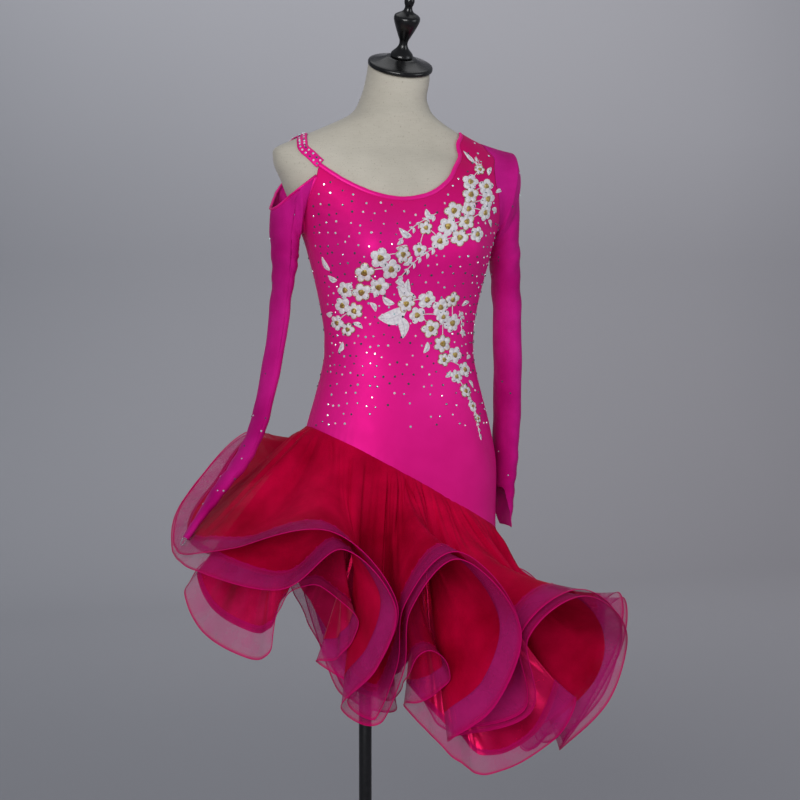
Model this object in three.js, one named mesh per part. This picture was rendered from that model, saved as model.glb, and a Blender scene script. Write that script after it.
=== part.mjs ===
// One-shoulder competition dance dress standing on a limbless dress form.
// Millimetres, +Z up, the dress faces -Y. The origin lies on the floor under
// the pole's axis; the form's own axis stands in front of the pole.
import * as THREE from 'three';

// ---------------------------------------------------------------- sizes
const FORM_AXIS = [28, -85];      // the form's upright axis, from the pole
const FORM_BOTTOM = 785;          // underside of the form
const FORM_INSET = -2.3;          // the form's skin, under the cloth
const NECK_TILT = 24;             // degrees, the neck plate leans forward
const NECK_TOP = 1478;
// the form's left shoulder sits lower and narrower from this height up
const LEFT_SHOULDER = { drop: 14, narrow: 0.07, from: 1270, over: 90, neck: 0.2 };
const SQUARENESS = 2.25;          // exponent of the torso's oval sections
const CLOTH = 1.2;                // wall of every cloth piece
const SEAM_GAP = 0.3;             // gap between neighbouring pieces
const ARMHOLE_INSET = 4.1;        // panel edges, inside their outlines
const SEAM_Z = 830;               // slanted hip seam: height on the axis
const SEAM_SLOPE = 0.562;         // and its fall towards the wearer's left
const POLE_RADIUS = 10.5;
const BASE_RADIUS = 170;
const BASE_THICK = 12;
const COLUMNS = 36;               // round the torso
const BINDING_WIDTH = 8;
const STRAP_WIDTH = 17;
const BRAID_SPLIT = 0.84;         // where the horsehair braid begins, 0 seam, 1 hem
const FLUTE_COLUMNS = 12;         // columns to each flute of a skirt layer
const SKIRT_ROWS = [0, 0.2, 0.5, BRAID_SPLIT];

// torso sections: height, half width, front depth, back depth, shift in y
const TORSO = [
  [780, 158, 96, 112, 0], [860, 157, 103, 122, 0], [912, 147, 100, 113, 0],
  [960, 134, 95, 98, 0], [1000, 124, 88, 84, 0], [1036, 119, 84, 76, 0],
  [1060, 119, 85, 76, 0], [1100, 124, 89, 82, 0], [1140, 132, 96, 90, 0],
  [1180, 142, 103, 98, 0], [1213, 152, 106, 102, 0], [1262, 174, 101, 104, 0],
  [1300, 190, 92, 101, 2], [1335, 203, 78, 88, 5], [1352, 200, 66, 74, 6],
  [1365, 172, 60, 68, 5], [1385, 124, 56, 64, 3], [1407, 78, 54, 60, 0],
  [1430, 61, 51, 54, 1], [1460, 52, 49, 50, -2], [1490, 49, 48, 49, -6],
];
const BUST = { x: 84, z: 1192, rise: 27, wide: 50, tall: 52 };

// edges on the torso: angle (0 wearer's left, -90 front), height; the armholes
// run from the shoulder over the back, the armpit and the front
const FRONT_NECK = [
  [-133, 1317], [-125, 1298], [-111, 1278], [-97, 1271], [-86, 1280], [-77, 1303],
  [-71, 1335], [-60, 1370], [-34, 1389],
];
const BACK_NECK = [
  [30, 1390], [52, 1374], [68, 1342], [84, 1318], [104, 1308], [120, 1314], [132, 1326],
];
const STRAP = [
  [-137, 1331], [-142, 1344], [-152, 1359], [-180, 1371], [-207, 1361], [-220, 1347],
  [-227, 1333],
];
const LEFT_ARMHOLE = [
  [0, 1376], [13, 1374], [26, 1364], [35, 1346], [38, 1318], [37, 1288], [32, 1258], [18, 1226],
  [0, 1212], [-18, 1224], [-33, 1253], [-42, 1285], [-46, 1312], [-45, 1338], [-36, 1362],
  [-19, 1374],
];
const RIGHT_ARMHOLE = [
  [180, 1376], [167, 1374], [154, 1362], [145, 1344], [141, 1318], [146, 1292], [155, 1268],
  [167, 1244], [180, 1221], [192, 1247], [203, 1268], [212, 1288], [219, 1306], [224, 1324],
  [217, 1350], [199, 1371],
];
const FRONT_PANEL = [
  [-200, 600], [-200, 1214], ...RIGHT_ARMHOLE.slice(8, 13).map(([a, z]) => [a - 360, z]),
  [-136, 1323], ...FRONT_NECK.slice(1), [20, 1394], [20, 1376],
  LEFT_ARMHOLE[0], ...LEFT_ARMHOLE.slice(8).reverse(), [20, 1205], [20, 600],
];
const BACK_PANEL = [
  [-20, 600], [-20, 1205], ...LEFT_ARMHOLE.slice(0, 9).reverse(), [-20, 1376], [-20, 1394],
  ...BACK_NECK, ...RIGHT_ARMHOLE.slice(4, 9), [200, 1214], [200, 600],
];

// sleeve rings, from the form's axis: x, y, z, half size along the ring's own
// slope, its slope in degrees (90 upright, 0 level), half size front to back
const LEFT_SLEEVE = [
  [173, 4, 1282, 71, 75, 62], [178, 4, 1266, 66, 70, 54], [180, 5, 1243, 48, 62, 43],
  [181, 5, 1208, 29, 40, 38], [183, 5, 1172, 22, 8, 37],
  [186, 4, 1110, 20, 0, 36], [187, 3, 1040, 20, 0, 36], [187, 2, 970, 19, 0, 37],
  [185, 2, 900, 18, 0, 37], [182, 3, 840, 16, 0, 37], [179, 4, 790, 14, 0, 35],
  [178, 4, 748, 12, 0, 30],
];
const RIGHT_SLEEVE = [
  [179, 4, 1288, 73, 80, 62], [183, 4, 1268, 66, 76, 52], [184, 5, 1245, 50, 70, 43],
  [187, 5, 1208, 29, 45, 38], [186, 5, 1172, 18, 10, 35],
  [192, 6, 1120, 14, 4, 33], [201, 7, 1050, 13, 8, 31], [214, 8, 985, 12, 11, 30],
  [229, 9, 925, 11, 16, 29], [252, 13, 874, 11, 24, 27], [286, 19.5, 828, 9, 34, 23],
  [318, 23, 784, 6, 36, 16], [340, 24, 752, 4, 38, 10],
];
const COLD_SHOULDER = { low: 1258, slope: 1.2, from: -205 };  // slanted top edge, right sleeve
const LEFT_CUFF = { point: 748, rise: 66, from: 186, over: 16 };

// flutes of the skirt, each: left side, crest, right side, where it rolls under,
// fold, valley, way to the next; each: direction in degrees, stand-out, drop
const OUTER_TULLE = [
  [[-46, 192, 150], [-17, 220, 80], [-1, 218, 160], [-6, 186, 262],
    [-18, 134, 345], [-9, 98, 366], [0, 150, 268]],
  [[2, 206, 165], [14, 243, 74], [31, 232, 165], [28, 200, 282],
    [19, 150, 350], [25, 106, 352], [43, 172, 300]],
  [[34, 218, 185], [51, 239, 110], [84, 212, 178], [86, 186, 262],
    [77, 142, 330], [84, 118, 345], [89, 150, 290]],
  [[88, 196, 200], [104, 216, 112], [121, 206, 190], [120, 176, 280],
    [113, 124, 345], [119, 108, 350], [125, 150, 300]],
  [[125, 192, 210], [143, 206, 122], [161, 196, 200], [161, 168, 300],
    [153, 126, 368], [160, 112, 375], [167, 150, 320]],
  [[166, 188, 232], [186, 200, 132], [206, 192, 205], [207, 168, 300],
    [198, 136, 385], [205, 128, 380], [213, 160, 240]],
  [[215, 175, 118], [232, 170, -20], [258, 206, 100], [276, 209, 168],
    [283, 207, 182], [289, 205, 186], [298, 200, 178]],
];
const SATIN = [
  [[-41, 138, 240], [-25, 164, 174], [-13, 154, 214], [-21, 122, 284],
    [-34, 84, 318], [-15, 56, 345], [-3, 72, 338]],
  [[2, 134, 290], [9, 174, 228], [18, 143, 272], [10, 99, 322],
    [3, 58, 345], [24, 56, 388], [31, 92, 408]],
  [[36, 134, 408], [54, 178, 345], [68, 172, 275], [68, 130, 312],
    [64, 92, 348], [80, 72, 362], [94, 104, 310]],
  [[97, 138, 258], [104, 160, 195], [111, 140, 255], [106, 108, 312],
    [101, 74, 355], [118, 68, 365], [130, 104, 320]],
  [[133, 136, 270], [142, 154, 208], [150, 132, 268], [146, 106, 330],
    [140, 76, 384], [160, 72, 396], [172, 108, 350]],
  [[174, 132, 300], [182, 146, 240], [189, 126, 290], [187, 100, 350],
    [182, 78, 400], [204, 78, 400], [219, 108, 300]],
  [[224, 122, 250], [238, 122, 176], [262, 156, 200], [279, 192, 248],
    [290, 180, 300], [305, 152, 325], [316, 142, 312]],
];
const FLUTE_ROOTS = [-9, 21, 80, 115, 150, 200, 285];  // where each valley starts at the seam
const SKIRT_START = 2;            // top edges of the skirt, below the bodice's edge
const SATIN_LIFT = 0.9;           // middle of the satin's wall off the torso, at the seam
const FLUTE_START = -110;         // direction 0 of the flute tables, in degrees
const POINT_CREST = [0.5, 1, 0.5, 0, 0, 0, 0];  // how far each point stands up as a crest

// flowers of the appliques: angle, height, radius
const SHOULDER_SPRAY = [
  [-58, 1328, 8], [-65, 1302, 12], [-54, 1295, 12], [-65, 1279, 12], [-52, 1273, 12],
  [-75, 1253, 12], [-66, 1256, 11], [-53, 1251, 11], [-67, 1236, 11], [-78, 1229, 12],
  [-71, 1212, 11], [-59, 1217, 10], [-82, 1207, 11], [-89, 1227, 9], [-92, 1194, 9],
];
const BUST_SPRAY = [
  [-102, 1187, 11], [-118, 1182, 12], [-110, 1165, 12], [-129, 1160, 12], [-118, 1138, 12],
  [-131, 1130, 12], [-145, 1133, 11], [-149, 1109, 11], [-138, 1101, 11], [-158, 1082, 10],
  [-146, 1072, 9],
];
const WAIST_SPRAY = [
  [-114, 1091, 8], [-106, 1103, 10], [-98, 1112, 11], [-86, 1118, 11], [-76, 1106, 11],
  [-67, 1118, 10], [-64, 1081, 12], [-82, 1073, 12], [-91, 1094, 11], [-73, 1091, 9],
  [-72, 1049, 12], [-60, 1031, 11], [-71, 1024, 9], [-50, 1007, 10], [-61, 997, 9],
  [-54, 974, 9], [-49, 950, 7], [-46, 930, 6],
];
const SPRAY_STEP = 9;             // mm between points of an applique's grid
const STEM_RADIUS = 5;            // stems between neighbouring flowers
const SPRAY_OFFSET = 3.4;         // its middle, out from the torso surface

// ---------------------------------------------------------------- numbers
const rad = Math.PI / 180;
const clamp = (t, a, b) => Math.min(b, Math.max(a, t));
const smooth = (t) => { const s = clamp(t, 0, 1); return s * s * (3 - 2 * s); };
const add = (p, q, k = 1) => [p[0] + q[0] * k, p[1] + q[1] * k, p[2] + q[2] * k];
const sub = (p, q) => [p[0] - q[0], p[1] - q[1], p[2] - q[2]];
const dot = (p, q) => p[0] * q[0] + p[1] * q[1] + p[2] * q[2];
const cross = (p, q) => [
  p[1] * q[2] - p[2] * q[1], p[2] * q[0] - p[0] * q[2], p[0] * q[1] - p[1] * q[0],
];
const unit = (p) => { const l = Math.hypot(...p) || 1; return p.map((c) => c / l); };
const mix = (p, q, t) => p.map((c, i) => c + (q[i] - c) * t);

// smooth curve through a table's rows: column 0 is the position
function through(table, column, x) {
  const last = table.length - 1;
  const at = clamp(x, table[0][0], table[last][0]);
  const slope = (i) => (table[i + 1][column] - table[i][column]) / (table[i + 1][0] - table[i][0]);
  const tangent = (i) => {
    if (i === 0) return slope(0);
    if (i === last) return slope(last - 1);
    const a = slope(i - 1), b = slope(i);
    return a * b <= 0 ? 0 : (a + b) / 2;
  };
  let i = 0;
  while (i < last - 1 && table[i + 1][0] < at) i += 1;
  const h = table[i + 1][0] - table[i][0];
  const t = (at - table[i][0]) / h;
  const s = t * t, c = s * t;
  return (2 * c - 3 * s + 1) * table[i][column] + (c - 2 * s + t) * h * tangent(i)
    + (3 * s - 2 * c) * table[i + 1][column] + (c - s) * h * tangent(i + 1);
}

// Catmull-Rom through rows; the first column turns by `turn` on each lap
function spline(rows, u, turn = null) {
  const n = rows.length;
  const row = (k) => {
    if (turn === null) return rows[clamp(k, 0, n - 1)];
    const lap = Math.floor(k / n);
    const r = [...rows[k - lap * n]];
    r[0] += turn * lap;
    return r;
  };
  const limit = turn === null ? n - 2 : Infinity;
  const i = Math.min(Math.floor(u), limit);
  const t = u - i, s = t * t, c = s * t;
  const [a, b, d, e] = [row(i - 1), row(i), row(i + 1), row(i + 2)];
  return b.map((value, k) => (2 * c - 3 * s + 1) * value + (c - 2 * s + t) * (d[k] - a[k]) / 2
    + (3 * s - 2 * c) * d[k] + (c - s) * (e[k] - value) / 2);
}

// ---------------------------------------------------------------- torso
function torsoPoint(angle, z) {
  const c = Math.cos(angle * rad), s = Math.sin(angle * rad);
  const power = 2 / SQUARENESS;
  const left = c > 0 ? smooth((z - LEFT_SHOULDER.from) / LEFT_SHOULDER.over) : 0;
  const neck = LEFT_SHOULDER.neck * smooth((z - 1388) / 30) * (1 - smooth((z - 1430) / 44));
  const narrow = 1 - (LEFT_SHOULDER.narrow + neck) * left;
  const x = through(TORSO, 1, z) * narrow * Math.sign(c) * Math.abs(c) ** power;
  const depth = through(TORSO, s < 0 ? 2 : 3, z);
  let y = depth * Math.sign(s) * Math.abs(s) ** power;
  if (s < 0) {
    y -= BUST.rise * clamp(-s * 1.6, 0, 1)
      * Math.exp(-(((Math.abs(x) - BUST.x) / BUST.wide) ** 2) - ((z - BUST.z) / BUST.tall) ** 2);
  }
  y += through(TORSO, 4, z);
  const lean = smooth((z - 1400) / (NECK_TOP - 1400)) * Math.tan(NECK_TILT * rad);
  const drop = LEFT_SHOULDER.drop * left * smooth(x / 110) * (1 - smooth((z - 1400) / 60));
  return [x + FORM_AXIS[0], y + FORM_AXIS[1], z - drop + (y - through(TORSO, 4, z)) * lean];
}
function torsoNormal(angle, z) {
  const a = sub(torsoPoint(angle + 1.5, z), torsoPoint(angle - 1.5, z));
  const b = sub(torsoPoint(angle, z + 2), torsoPoint(angle, z - 2));
  return unit(cross(a, b));
}
const onTorso = (angle, z, out) => add(torsoPoint(angle, z), torsoNormal(angle, z), out);
const seamHeight = (x) => SEAM_Z - SEAM_SLOPE * x;

// distance from the form's axis to the torso in a given direction
function torsoReach(direction, z) {
  let angle = direction;
  for (let k = 0; k < 8; k += 1) {
    const p = torsoPoint(angle, z);
    const now = Math.atan2(p[1] - FORM_AXIS[1], p[0] - FORM_AXIS[0]) / rad;
    angle += ((direction - now + 540) % 360) - 180;
  }
  const p = torsoPoint(angle, z);
  return Math.hypot(p[0] - FORM_AXIS[0], p[1] - FORM_AXIS[1]);
}
function seamInDirection(direction) {
  let z = SEAM_Z, reach = 0;
  for (let k = 0; k < 5; k += 1) {
    reach = torsoReach(direction, clamp(z, 790, 1100));
    z = seamHeight(reach * Math.cos(direction * rad));
  }
  return [reach, z];
}

// ---------------------------------------------------------------- sheets
// a sheet is { points, normals, faces }; normals point to the cloth's right side
function sheetFrom(columns, rows, place, round = false) {
  const points = [], faces = [];
  for (let r = 0; r < rows; r += 1) {
    for (let c = 0; c < columns; c += 1) points.push(place(c, r));
  }
  const across = round ? columns : columns - 1;
  for (let r = 0; r + 1 < rows; r += 1) {
    for (let c = 0; c < across; c += 1) {
      const d = (c + 1) % columns;
      const [i, j, k, l] = [r * columns + c, r * columns + d, (r + 1) * columns + d, (r + 1) * columns + c];
      faces.push([i, j, k], [i, k, l]);
    }
  }
  return { points, faces, normals: normalsOf(points, faces) };
}
function normalsOf(points, faces) {
  const sum = points.map(() => [0, 0, 0]);
  for (const f of faces) {
    const n = cross(sub(points[f[1]], points[f[0]]), sub(points[f[2]], points[f[0]]));
    for (const i of f) sum[i] = add(sum[i], n);
  }
  return sum.map(unit);
}
// keep the part of a sheet where `field` is positive
function trim(sheet, field) {
  const value = sheet.points.map((_, i) => { const f = field(i); return Math.abs(f) < 0.05 ? 0.05 : f; });
  const points = [...sheet.points], normals = [...sheet.normals], faces = [];
  const cuts = new Map();
  const cut = (i, j) => {
    const key = i < j ? `${i}_${j}` : `${j}_${i}`;
    if (!cuts.has(key)) {
      const t = clamp(value[i] / (value[i] - value[j]), 0.06, 0.94);
      points.push(mix(sheet.points[i], sheet.points[j], t));
      normals.push(unit(mix(sheet.normals[i], sheet.normals[j], t)));
      cuts.set(key, points.length - 1);
    }
    return cuts.get(key);
  };
  for (const f of sheet.faces) {
    const kept = [];
    for (let k = 0; k < 3; k += 1) {
      const i = f[k], j = f[(k + 1) % 3];
      if (value[i] > 0) kept.push(i);
      if (value[i] > 0 !== value[j] > 0) kept.push(value[i] > 0 ? cut(i, j) : cut(i, j));
    }
    for (let k = 1; k + 1 < kept.length; k += 1) faces.push([kept[0], kept[k], kept[k + 1]]);
  }
  return { points, normals, faces };
}
// keep the largest set of faces that share edges
function largest(sheet) {
  const root = sheet.faces.map((_, i) => i);
  const find = (i) => { let k = i; while (root[k] !== k) k = root[k]; return k; };
  const owner = new Map();
  sheet.faces.forEach((f, i) => {
    for (let k = 0; k < 3; k += 1) {
      const [a, b] = [f[k], f[(k + 1) % 3]];
      const key = a < b ? `${a}_${b}` : `${b}_${a}`;
      if (owner.has(key)) root[find(i)] = find(owner.get(key));
      else owner.set(key, i);
    }
  });
  const size = new Map();
  sheet.faces.forEach((_, i) => size.set(find(i), (size.get(find(i)) ?? 0) + 1));
  const best = [...size.entries()].sort((a, b) => b[1] - a[1])[0][0];
  return { ...sheet, faces: sheet.faces.filter((_, i) => find(i) === best) };
}
// close a sheet into a wall between two offsets along its normals
function wall(sheet, inner, outer) {
  const used = [...new Set(sheet.faces.flat())];
  const index = new Map(used.map((v, i) => [v, i]));
  const n = used.length;
  const vertices = [
    ...used.map((i) => add(sheet.points[i], sheet.normals[i], outer)),
    ...used.map((i) => add(sheet.points[i], sheet.normals[i], inner)),
  ];
  const triangles = [];
  const edges = new Map();
  for (const face of sheet.faces) {
    const f = face.map((i) => index.get(i));
    triangles.push(f, [f[0] + n, f[2] + n, f[1] + n]);
    for (let k = 0; k < 3; k += 1) {
      const [i, j] = [f[k], f[(k + 1) % 3]];
      if (edges.has(`${j}_${i}`)) edges.delete(`${j}_${i}`);
      else edges.set(`${i}_${j}`, [i, j]);
    }
  }
  for (const [i, j] of edges.values()) triangles.push([i, i + n, j + n], [i, j + n, j]);
  return solid(vertices, triangles);
}
function solid(vertices, triangles) {
  const geometry = new THREE.BufferGeometry();
  geometry.setAttribute('position', new THREE.Float32BufferAttribute(vertices.flat(), 3));
  geometry.setIndex(triangles.flat());
  geometry.computeVertexNormals();
  return geometry;
}
// a solid through closed rings of points, capped at both ends
function loft(rings) {
  const n = rings[0].length;
  const vertices = rings.flat();
  const triangles = [];
  for (let r = 0; r + 1 < rings.length; r += 1) {
    for (let c = 0; c < n; c += 1) {
      const d = (c + 1) % n;
      triangles.push([r * n + c, r * n + d, (r + 1) * n + d], [r * n + c, (r + 1) * n + d, (r + 1) * n + c]);
    }
  }
  for (const [ring, flip] of [[0, true], [rings.length - 1, false]]) {
    const centre = rings[ring].reduce((s, p) => add(s, p, 1 / n), [0, 0, 0]);
    vertices.push(centre);
    const m = vertices.length - 1;
    for (let c = 0; c < n; c += 1) {
      const i = ring * n + c, j = ring * n + ((c + 1) % n);
      triangles.push(flip ? [m, j, i] : [m, i, j]);
    }
  }
  return solid(vertices, triangles);
}
// signed distance to a closed outline in two dimensions, positive inside
function insideOutline(outline, x, y) {
  let best = Infinity, inside = false;
  for (let k = 0; k < outline.length; k += 1) {
    const [ax, ay] = outline[k], [bx, by] = outline[(k + 1) % outline.length];
    const dx = bx - ax, dy = by - ay;
    const t = clamp(((x - ax) * dx + (y - ay) * dy) / (dx * dx + dy * dy), 0, 1);
    best = Math.min(best, Math.hypot(ax + dx * t - x, ay + dy * t - y));
    if (ay > y !== by > y && x < ax + ((y - ay) / dy) * dx) inside = !inside;
  }
  return inside ? best : -best;
}

// ---------------------------------------------------------------- group
const group = new THREE.Group();
function piece(name, geometry, color, roughness, metalness = 0) {
  const material = new THREE.MeshStandardMaterial({ color, roughness, metalness, side: THREE.DoubleSide });
  const mesh = new THREE.Mesh(geometry, material);
  mesh.name = name;
  group.add(mesh);
  return mesh;
}
const FUCHSIA = 0xc81c7d, MAGENTA = 0xb81e82, CRIMSON = 0xa00a34, SATIN_RED = 0xd82058;
const BRAID = 0x98205f, BINDING = 0xdc2c7c, LACE = 0xf0eceb, LINEN = 0xb9b2a5, BLACK = 0x111113;

// ---------------------------------------------------------------- stand
const upperLevels = [
  1000, 1032, 1066, 1102, 1136, 1164, 1188, 1210, 1232, 1254, 1276, 1298, 1320, 1340, 1354,
  1368, 1384, 1404,
];
const formLevels = [FORM_BOTTOM, 792, 830, 865, 895, 930, 965, ...upperLevels, 1426, 1456, NECK_TOP];
const torsoRing = (z, out) => Array.from({ length: COLUMNS }, (_, c) => onTorso((c * 360) / COLUMNS, z, out));
piece('dress_form', loft([
  torsoRing(FORM_BOTTOM + 0.1, -12).map(([x, y]) => [x, y, FORM_BOTTOM]),
  ...formLevels.slice(1).map((z) => torsoRing(z, FORM_INSET)),
]), LINEN, 0.85);

const neckCentre = [FORM_AXIS[0], FORM_AXIS[1] + through(TORSO, 4, NECK_TOP), NECK_TOP];
const neckNormal = [0, -Math.sin(NECK_TILT * rad), Math.cos(NECK_TILT * rad)];
const plate = piece('neck_plate', new THREE.LatheGeometry(
  [[0, 0], [49, 0], [51, 1.5], [51, 6], [48, 8], [36, 11], [24, 15.5], [22, 17.5], [0, 17.5]].map(([r, h]) => new THREE.Vector2(r, h)), 28,
), BLACK, 0.25);
plate.rotation.x = Math.PI / 2 + NECK_TILT * rad;
plate.position.set(...add(neckCentre, neckNormal, 1.4));
const finial = piece('finial', new THREE.LatheGeometry([
  [0, 0], [17, 0], [18, 3], [14.5, 9], [9, 15], [6.5, 22], [7, 27], [10.5, 34], [15, 44],
  [19, 55], [20.5, 62], [19, 66], [12.5, 70], [8, 73.5], [5.8, 80], [7.5, 86], [7.5, 92],
  [5, 97], [0, 99],
].map(([r, h]) => new THREE.Vector2(r, h)), 14), BLACK, 0.2);
finial.rotation.x = plate.rotation.x;
finial.position.set(...add(neckCentre, neckNormal, 19.2));

const pole = piece('stand_pole', new THREE.CylinderGeometry(
  POLE_RADIUS, POLE_RADIUS, FORM_BOTTOM - BASE_THICK - 10 - 2 * SEAM_GAP, 20,
), BLACK, 0.3, 0.6);
pole.rotation.x = Math.PI / 2;
pole.position.z = (FORM_BOTTOM + BASE_THICK + 10) / 2;
const base = piece('stand_base', new THREE.LatheGeometry([
  [0, 0], [BASE_RADIUS, 0], [BASE_RADIUS, BASE_THICK - 4], [BASE_RADIUS - 4, BASE_THICK],
  [24, BASE_THICK], [20, BASE_THICK + 10], [0, BASE_THICK + 10],
].map(([r, h]) => new THREE.Vector2(r, h)), 36), BLACK, 0.35, 0.6);
base.rotation.x = Math.PI / 2;

// ---------------------------------------------------------------- bodice
// panel rows follow the slanted hip seam below and lie level above the waist
function bodicePanel(fromAngle, toAngle, outline) {
  const lower = [0, 0.2, 0.4, 0.6, 0.8];
  const rows = lower.length + upperLevels.length;
  const columns = COLUMNS / 2 + 1;
  const edge = (c) => {
    const t = c / (columns - 1);
    const angle = fromAngle + (toAngle - fromAngle) * t;
    return angle + (c === 0 ? 0.2 : 0) - (c === columns - 1 ? 0.2 : 0);
  };
  const where = [];
  const sheet = sheetFrom(columns, rows, (c, r) => {
    const angle = edge(c);
    let z = upperLevels[Math.max(0, r - lower.length)];
    if (r < lower.length) {
      let seam = SEAM_Z;
      for (let k = 0; k < 4; k += 1) seam = seamHeight(torsoPoint(angle, seam)[0] - FORM_AXIS[0]);
      z = seam + (upperLevels[0] - seam) * lower[r];
    }
    where.push([angle, z]);
    return torsoPoint(angle, z);
  });
  sheet.normals = where.map(([angle, z]) => torsoNormal(angle, z));
  const scaled = outline.map(([a, z]) => [a * 2.4, z]);
  const cloth = trim(sheet, (i) => insideOutline(scaled, where[i][0] * 2.4, where[i][1]) - ARMHOLE_INSET);
  return wall(cloth, 0.3, 0.3 + CLOTH);
}
piece('bodice_front', bodicePanel(-180, 0, FRONT_PANEL), FUCHSIA, 0.4);
piece('bodice_back', bodicePanel(0, 180, BACK_PANEL), FUCHSIA, 0.4);

// a flat band along a path on the torso
function band(path, steps, width, lift, side) {
  const spine = Array.from({ length: steps + 1 }, (_, k) => spline(path, (k * (path.length - 1)) / steps));
  const centre = spine.map(([a, z]) => onTorso(a, z, lift));
  const normal = spine.map(([a, z]) => torsoNormal(a, z));
  const sheet = sheetFrom(steps + 1, 3, (c, r) => {
    const along = sub(centre[Math.min(steps, c + 1)], centre[Math.max(0, c - 1)]);
    const out = unit(cross(normal[c], along));
    return add(centre[c], out, width * (r / 2 - side));
  });
  for (let r = 0; r < 3; r += 1) for (let c = 0; c <= steps; c += 1) sheet.normals[r * (steps + 1) + c] = normal[c];
  return wall(sheet, 0, CLOTH);
}
piece('neck_binding_front', band(FRONT_NECK, 18, BINDING_WIDTH, 2.4, 0.9), BINDING, 0.35);
piece('neck_binding_back', band(BACK_NECK, 12, BINDING_WIDTH, 2.4, 0.9), BINDING, 0.35);
piece('shoulder_strap', band(STRAP, 12, STRAP_WIDTH, FORM_INSET + 1.3, 0.5), BINDING, 0.35);

// ---------------------------------------------------------------- sleeves
const SLEEVE_COLUMNS = 16;
const SLEEVE_LIFT = { left: 4, right: 0.5 };  // armhole edges, out from the torso
function sleeve(table, armhole, side, keep) {
  const rings = [...table].reverse();
  const sheet = sheetFrom(SLEEVE_COLUMNS, rings.length + 1, (c, r) => {
    const turn = side > 0 ? c : -c;
    if (r === rings.length) {
      const [angle, z] = armhole[(turn + SLEEVE_COLUMNS) % SLEEVE_COLUMNS];
      return onTorso(angle, z, side > 0 ? SLEEVE_LIFT.left : SLEEVE_LIFT.right);
    }
    const [x, y, z, tall, slope, deep] = rings[r];
    const angle = (turn * 2 * Math.PI) / SLEEVE_COLUMNS;
    const up = tall * Math.cos(angle);
    return [
      FORM_AXIS[0] + side * (x + up * Math.cos(slope * rad)),
      FORM_AXIS[1] + y + deep * Math.sin(angle),
      z + up * Math.sin(slope * rad),
    ];
  }, true);
  return wall(trim(sheet, (i) => keep(sheet.points[i])), -CLOTH / 2, CLOTH / 2);
}
piece('sleeve_left', sleeve(LEFT_SLEEVE, LEFT_ARMHOLE, 1, ([x, , z]) => z - LEFT_CUFF.point
  - LEFT_CUFF.rise * clamp((LEFT_CUFF.from + FORM_AXIS[0] - x) / LEFT_CUFF.over, 0, 1)), MAGENTA, 0.5);
piece('sleeve_right', sleeve(RIGHT_SLEEVE, RIGHT_ARMHOLE, -1, ([x, , z]) => COLD_SHOULDER.low
  + COLD_SHOULDER.slope * (x - FORM_AXIS[0] - COLD_SHOULDER.from) - z), MAGENTA, 0.5);

// ---------------------------------------------------------------- skirt
const skirtLevels = [...SKIRT_ROWS, BRAID_SPLIT + 0.008, 1];
function skirtSheet(table, start) {
  const rows = table.flatMap((flute) => flute.map((p, k) => [...p, POINT_CREST[k]]));
  const valley = (i) => FLUTE_ROOTS[((i % table.length) + table.length) % table.length]
    + 360 * Math.floor(i / table.length);
  const columns = table.length * FLUTE_COLUMNS;
  return sheetFrom(columns, skirtLevels.length, (c, r) => {
    const v = skirtLevels[skirtLevels.length - 1 - r];
    const u = (c * rows.length) / columns;
    const [direction, out, drop, crestWeight] = spline(rows, u, 360);
    const crest = clamp(crestWeight, 0, 1);
    const points = POINT_CREST.length;
    const lap = (u - points + 2) / points, k = Math.floor(lap);
    const root = valley(k) + (valley(k + 1) - valley(k)) * (lap - k);
    const angle = FLUTE_START + root + (direction - root) * v ** 1.15;
    const [reach, seam] = seamInDirection(angle);
    const steep = clamp(drop / 80, 0, 1);
    const away = (1 - crest) * v + crest * v ** (1 + 0.7 * steep);
    const down = (1 - crest) * v + crest * (steep * v * (2 - v) + (1 - steep) * v * v);
    const radius = reach + SATIN_LIFT + out * away;
    return [
      FORM_AXIS[0] + radius * Math.cos(angle * rad),
      FORM_AXIS[1] + radius * Math.sin(angle * rad),
      seam - start * (1 - v) - drop * down,
    ];
  }, true);
}
// the same sheet moved along its normals, its top sunk and its hem let down
function moved(sheet, distance, sunk, longer) {
  const columns = sheet.points.length / skirtLevels.length;
  const points = sheet.points.map((p, i) => {
    const v = skirtLevels[skirtLevels.length - 1 - Math.floor(i / columns)];
    const [x, y, z] = sheet.normals[i];
    const q = add(p, v > 0 ? [x, y, z] : unit([x, y, 0]), distance(v));
    q[2] -= sunk * (1 - v);
    return i < columns ? add(q, unit(sub(p, sheet.points[i + columns])), longer) : q;
  });
  return { points, faces: sheet.faces, normals: normalsOf(points, sheet.faces) };
}
function skirtLayer(name, sheet, colour, roughness) {
  const columns = sheet.points.length / skirtLevels.length;
  const part = (from, to) => ({
    ...sheet,
    faces: sheet.faces.filter((f) => f.every((i) => i >= from * columns && i < to * columns)),
  });
  piece(name, wall(part(2, skirtLevels.length), -CLOTH / 2, CLOTH / 2), colour, roughness);
  piece(`${name}_braid`, wall(part(0, 2), -CLOTH / 2, CLOTH / 2), BRAID, 0.5);
}
const flutes = skirtSheet(OUTER_TULLE, SKIRT_START);
skirtLayer('skirt_outer', moved(flutes, (v) => 5.4 - 2.4 * v, 0, 0), CRIMSON, 0.7);
skirtLayer('skirt_second', moved(flutes, (v) => 2.7 - 9.2 * v, 1.8, 9), CRIMSON, 0.7);
skirtLayer('skirt_satin', skirtSheet(SATIN, SKIRT_START + 3.6), SATIN_RED, 0.35);

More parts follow.
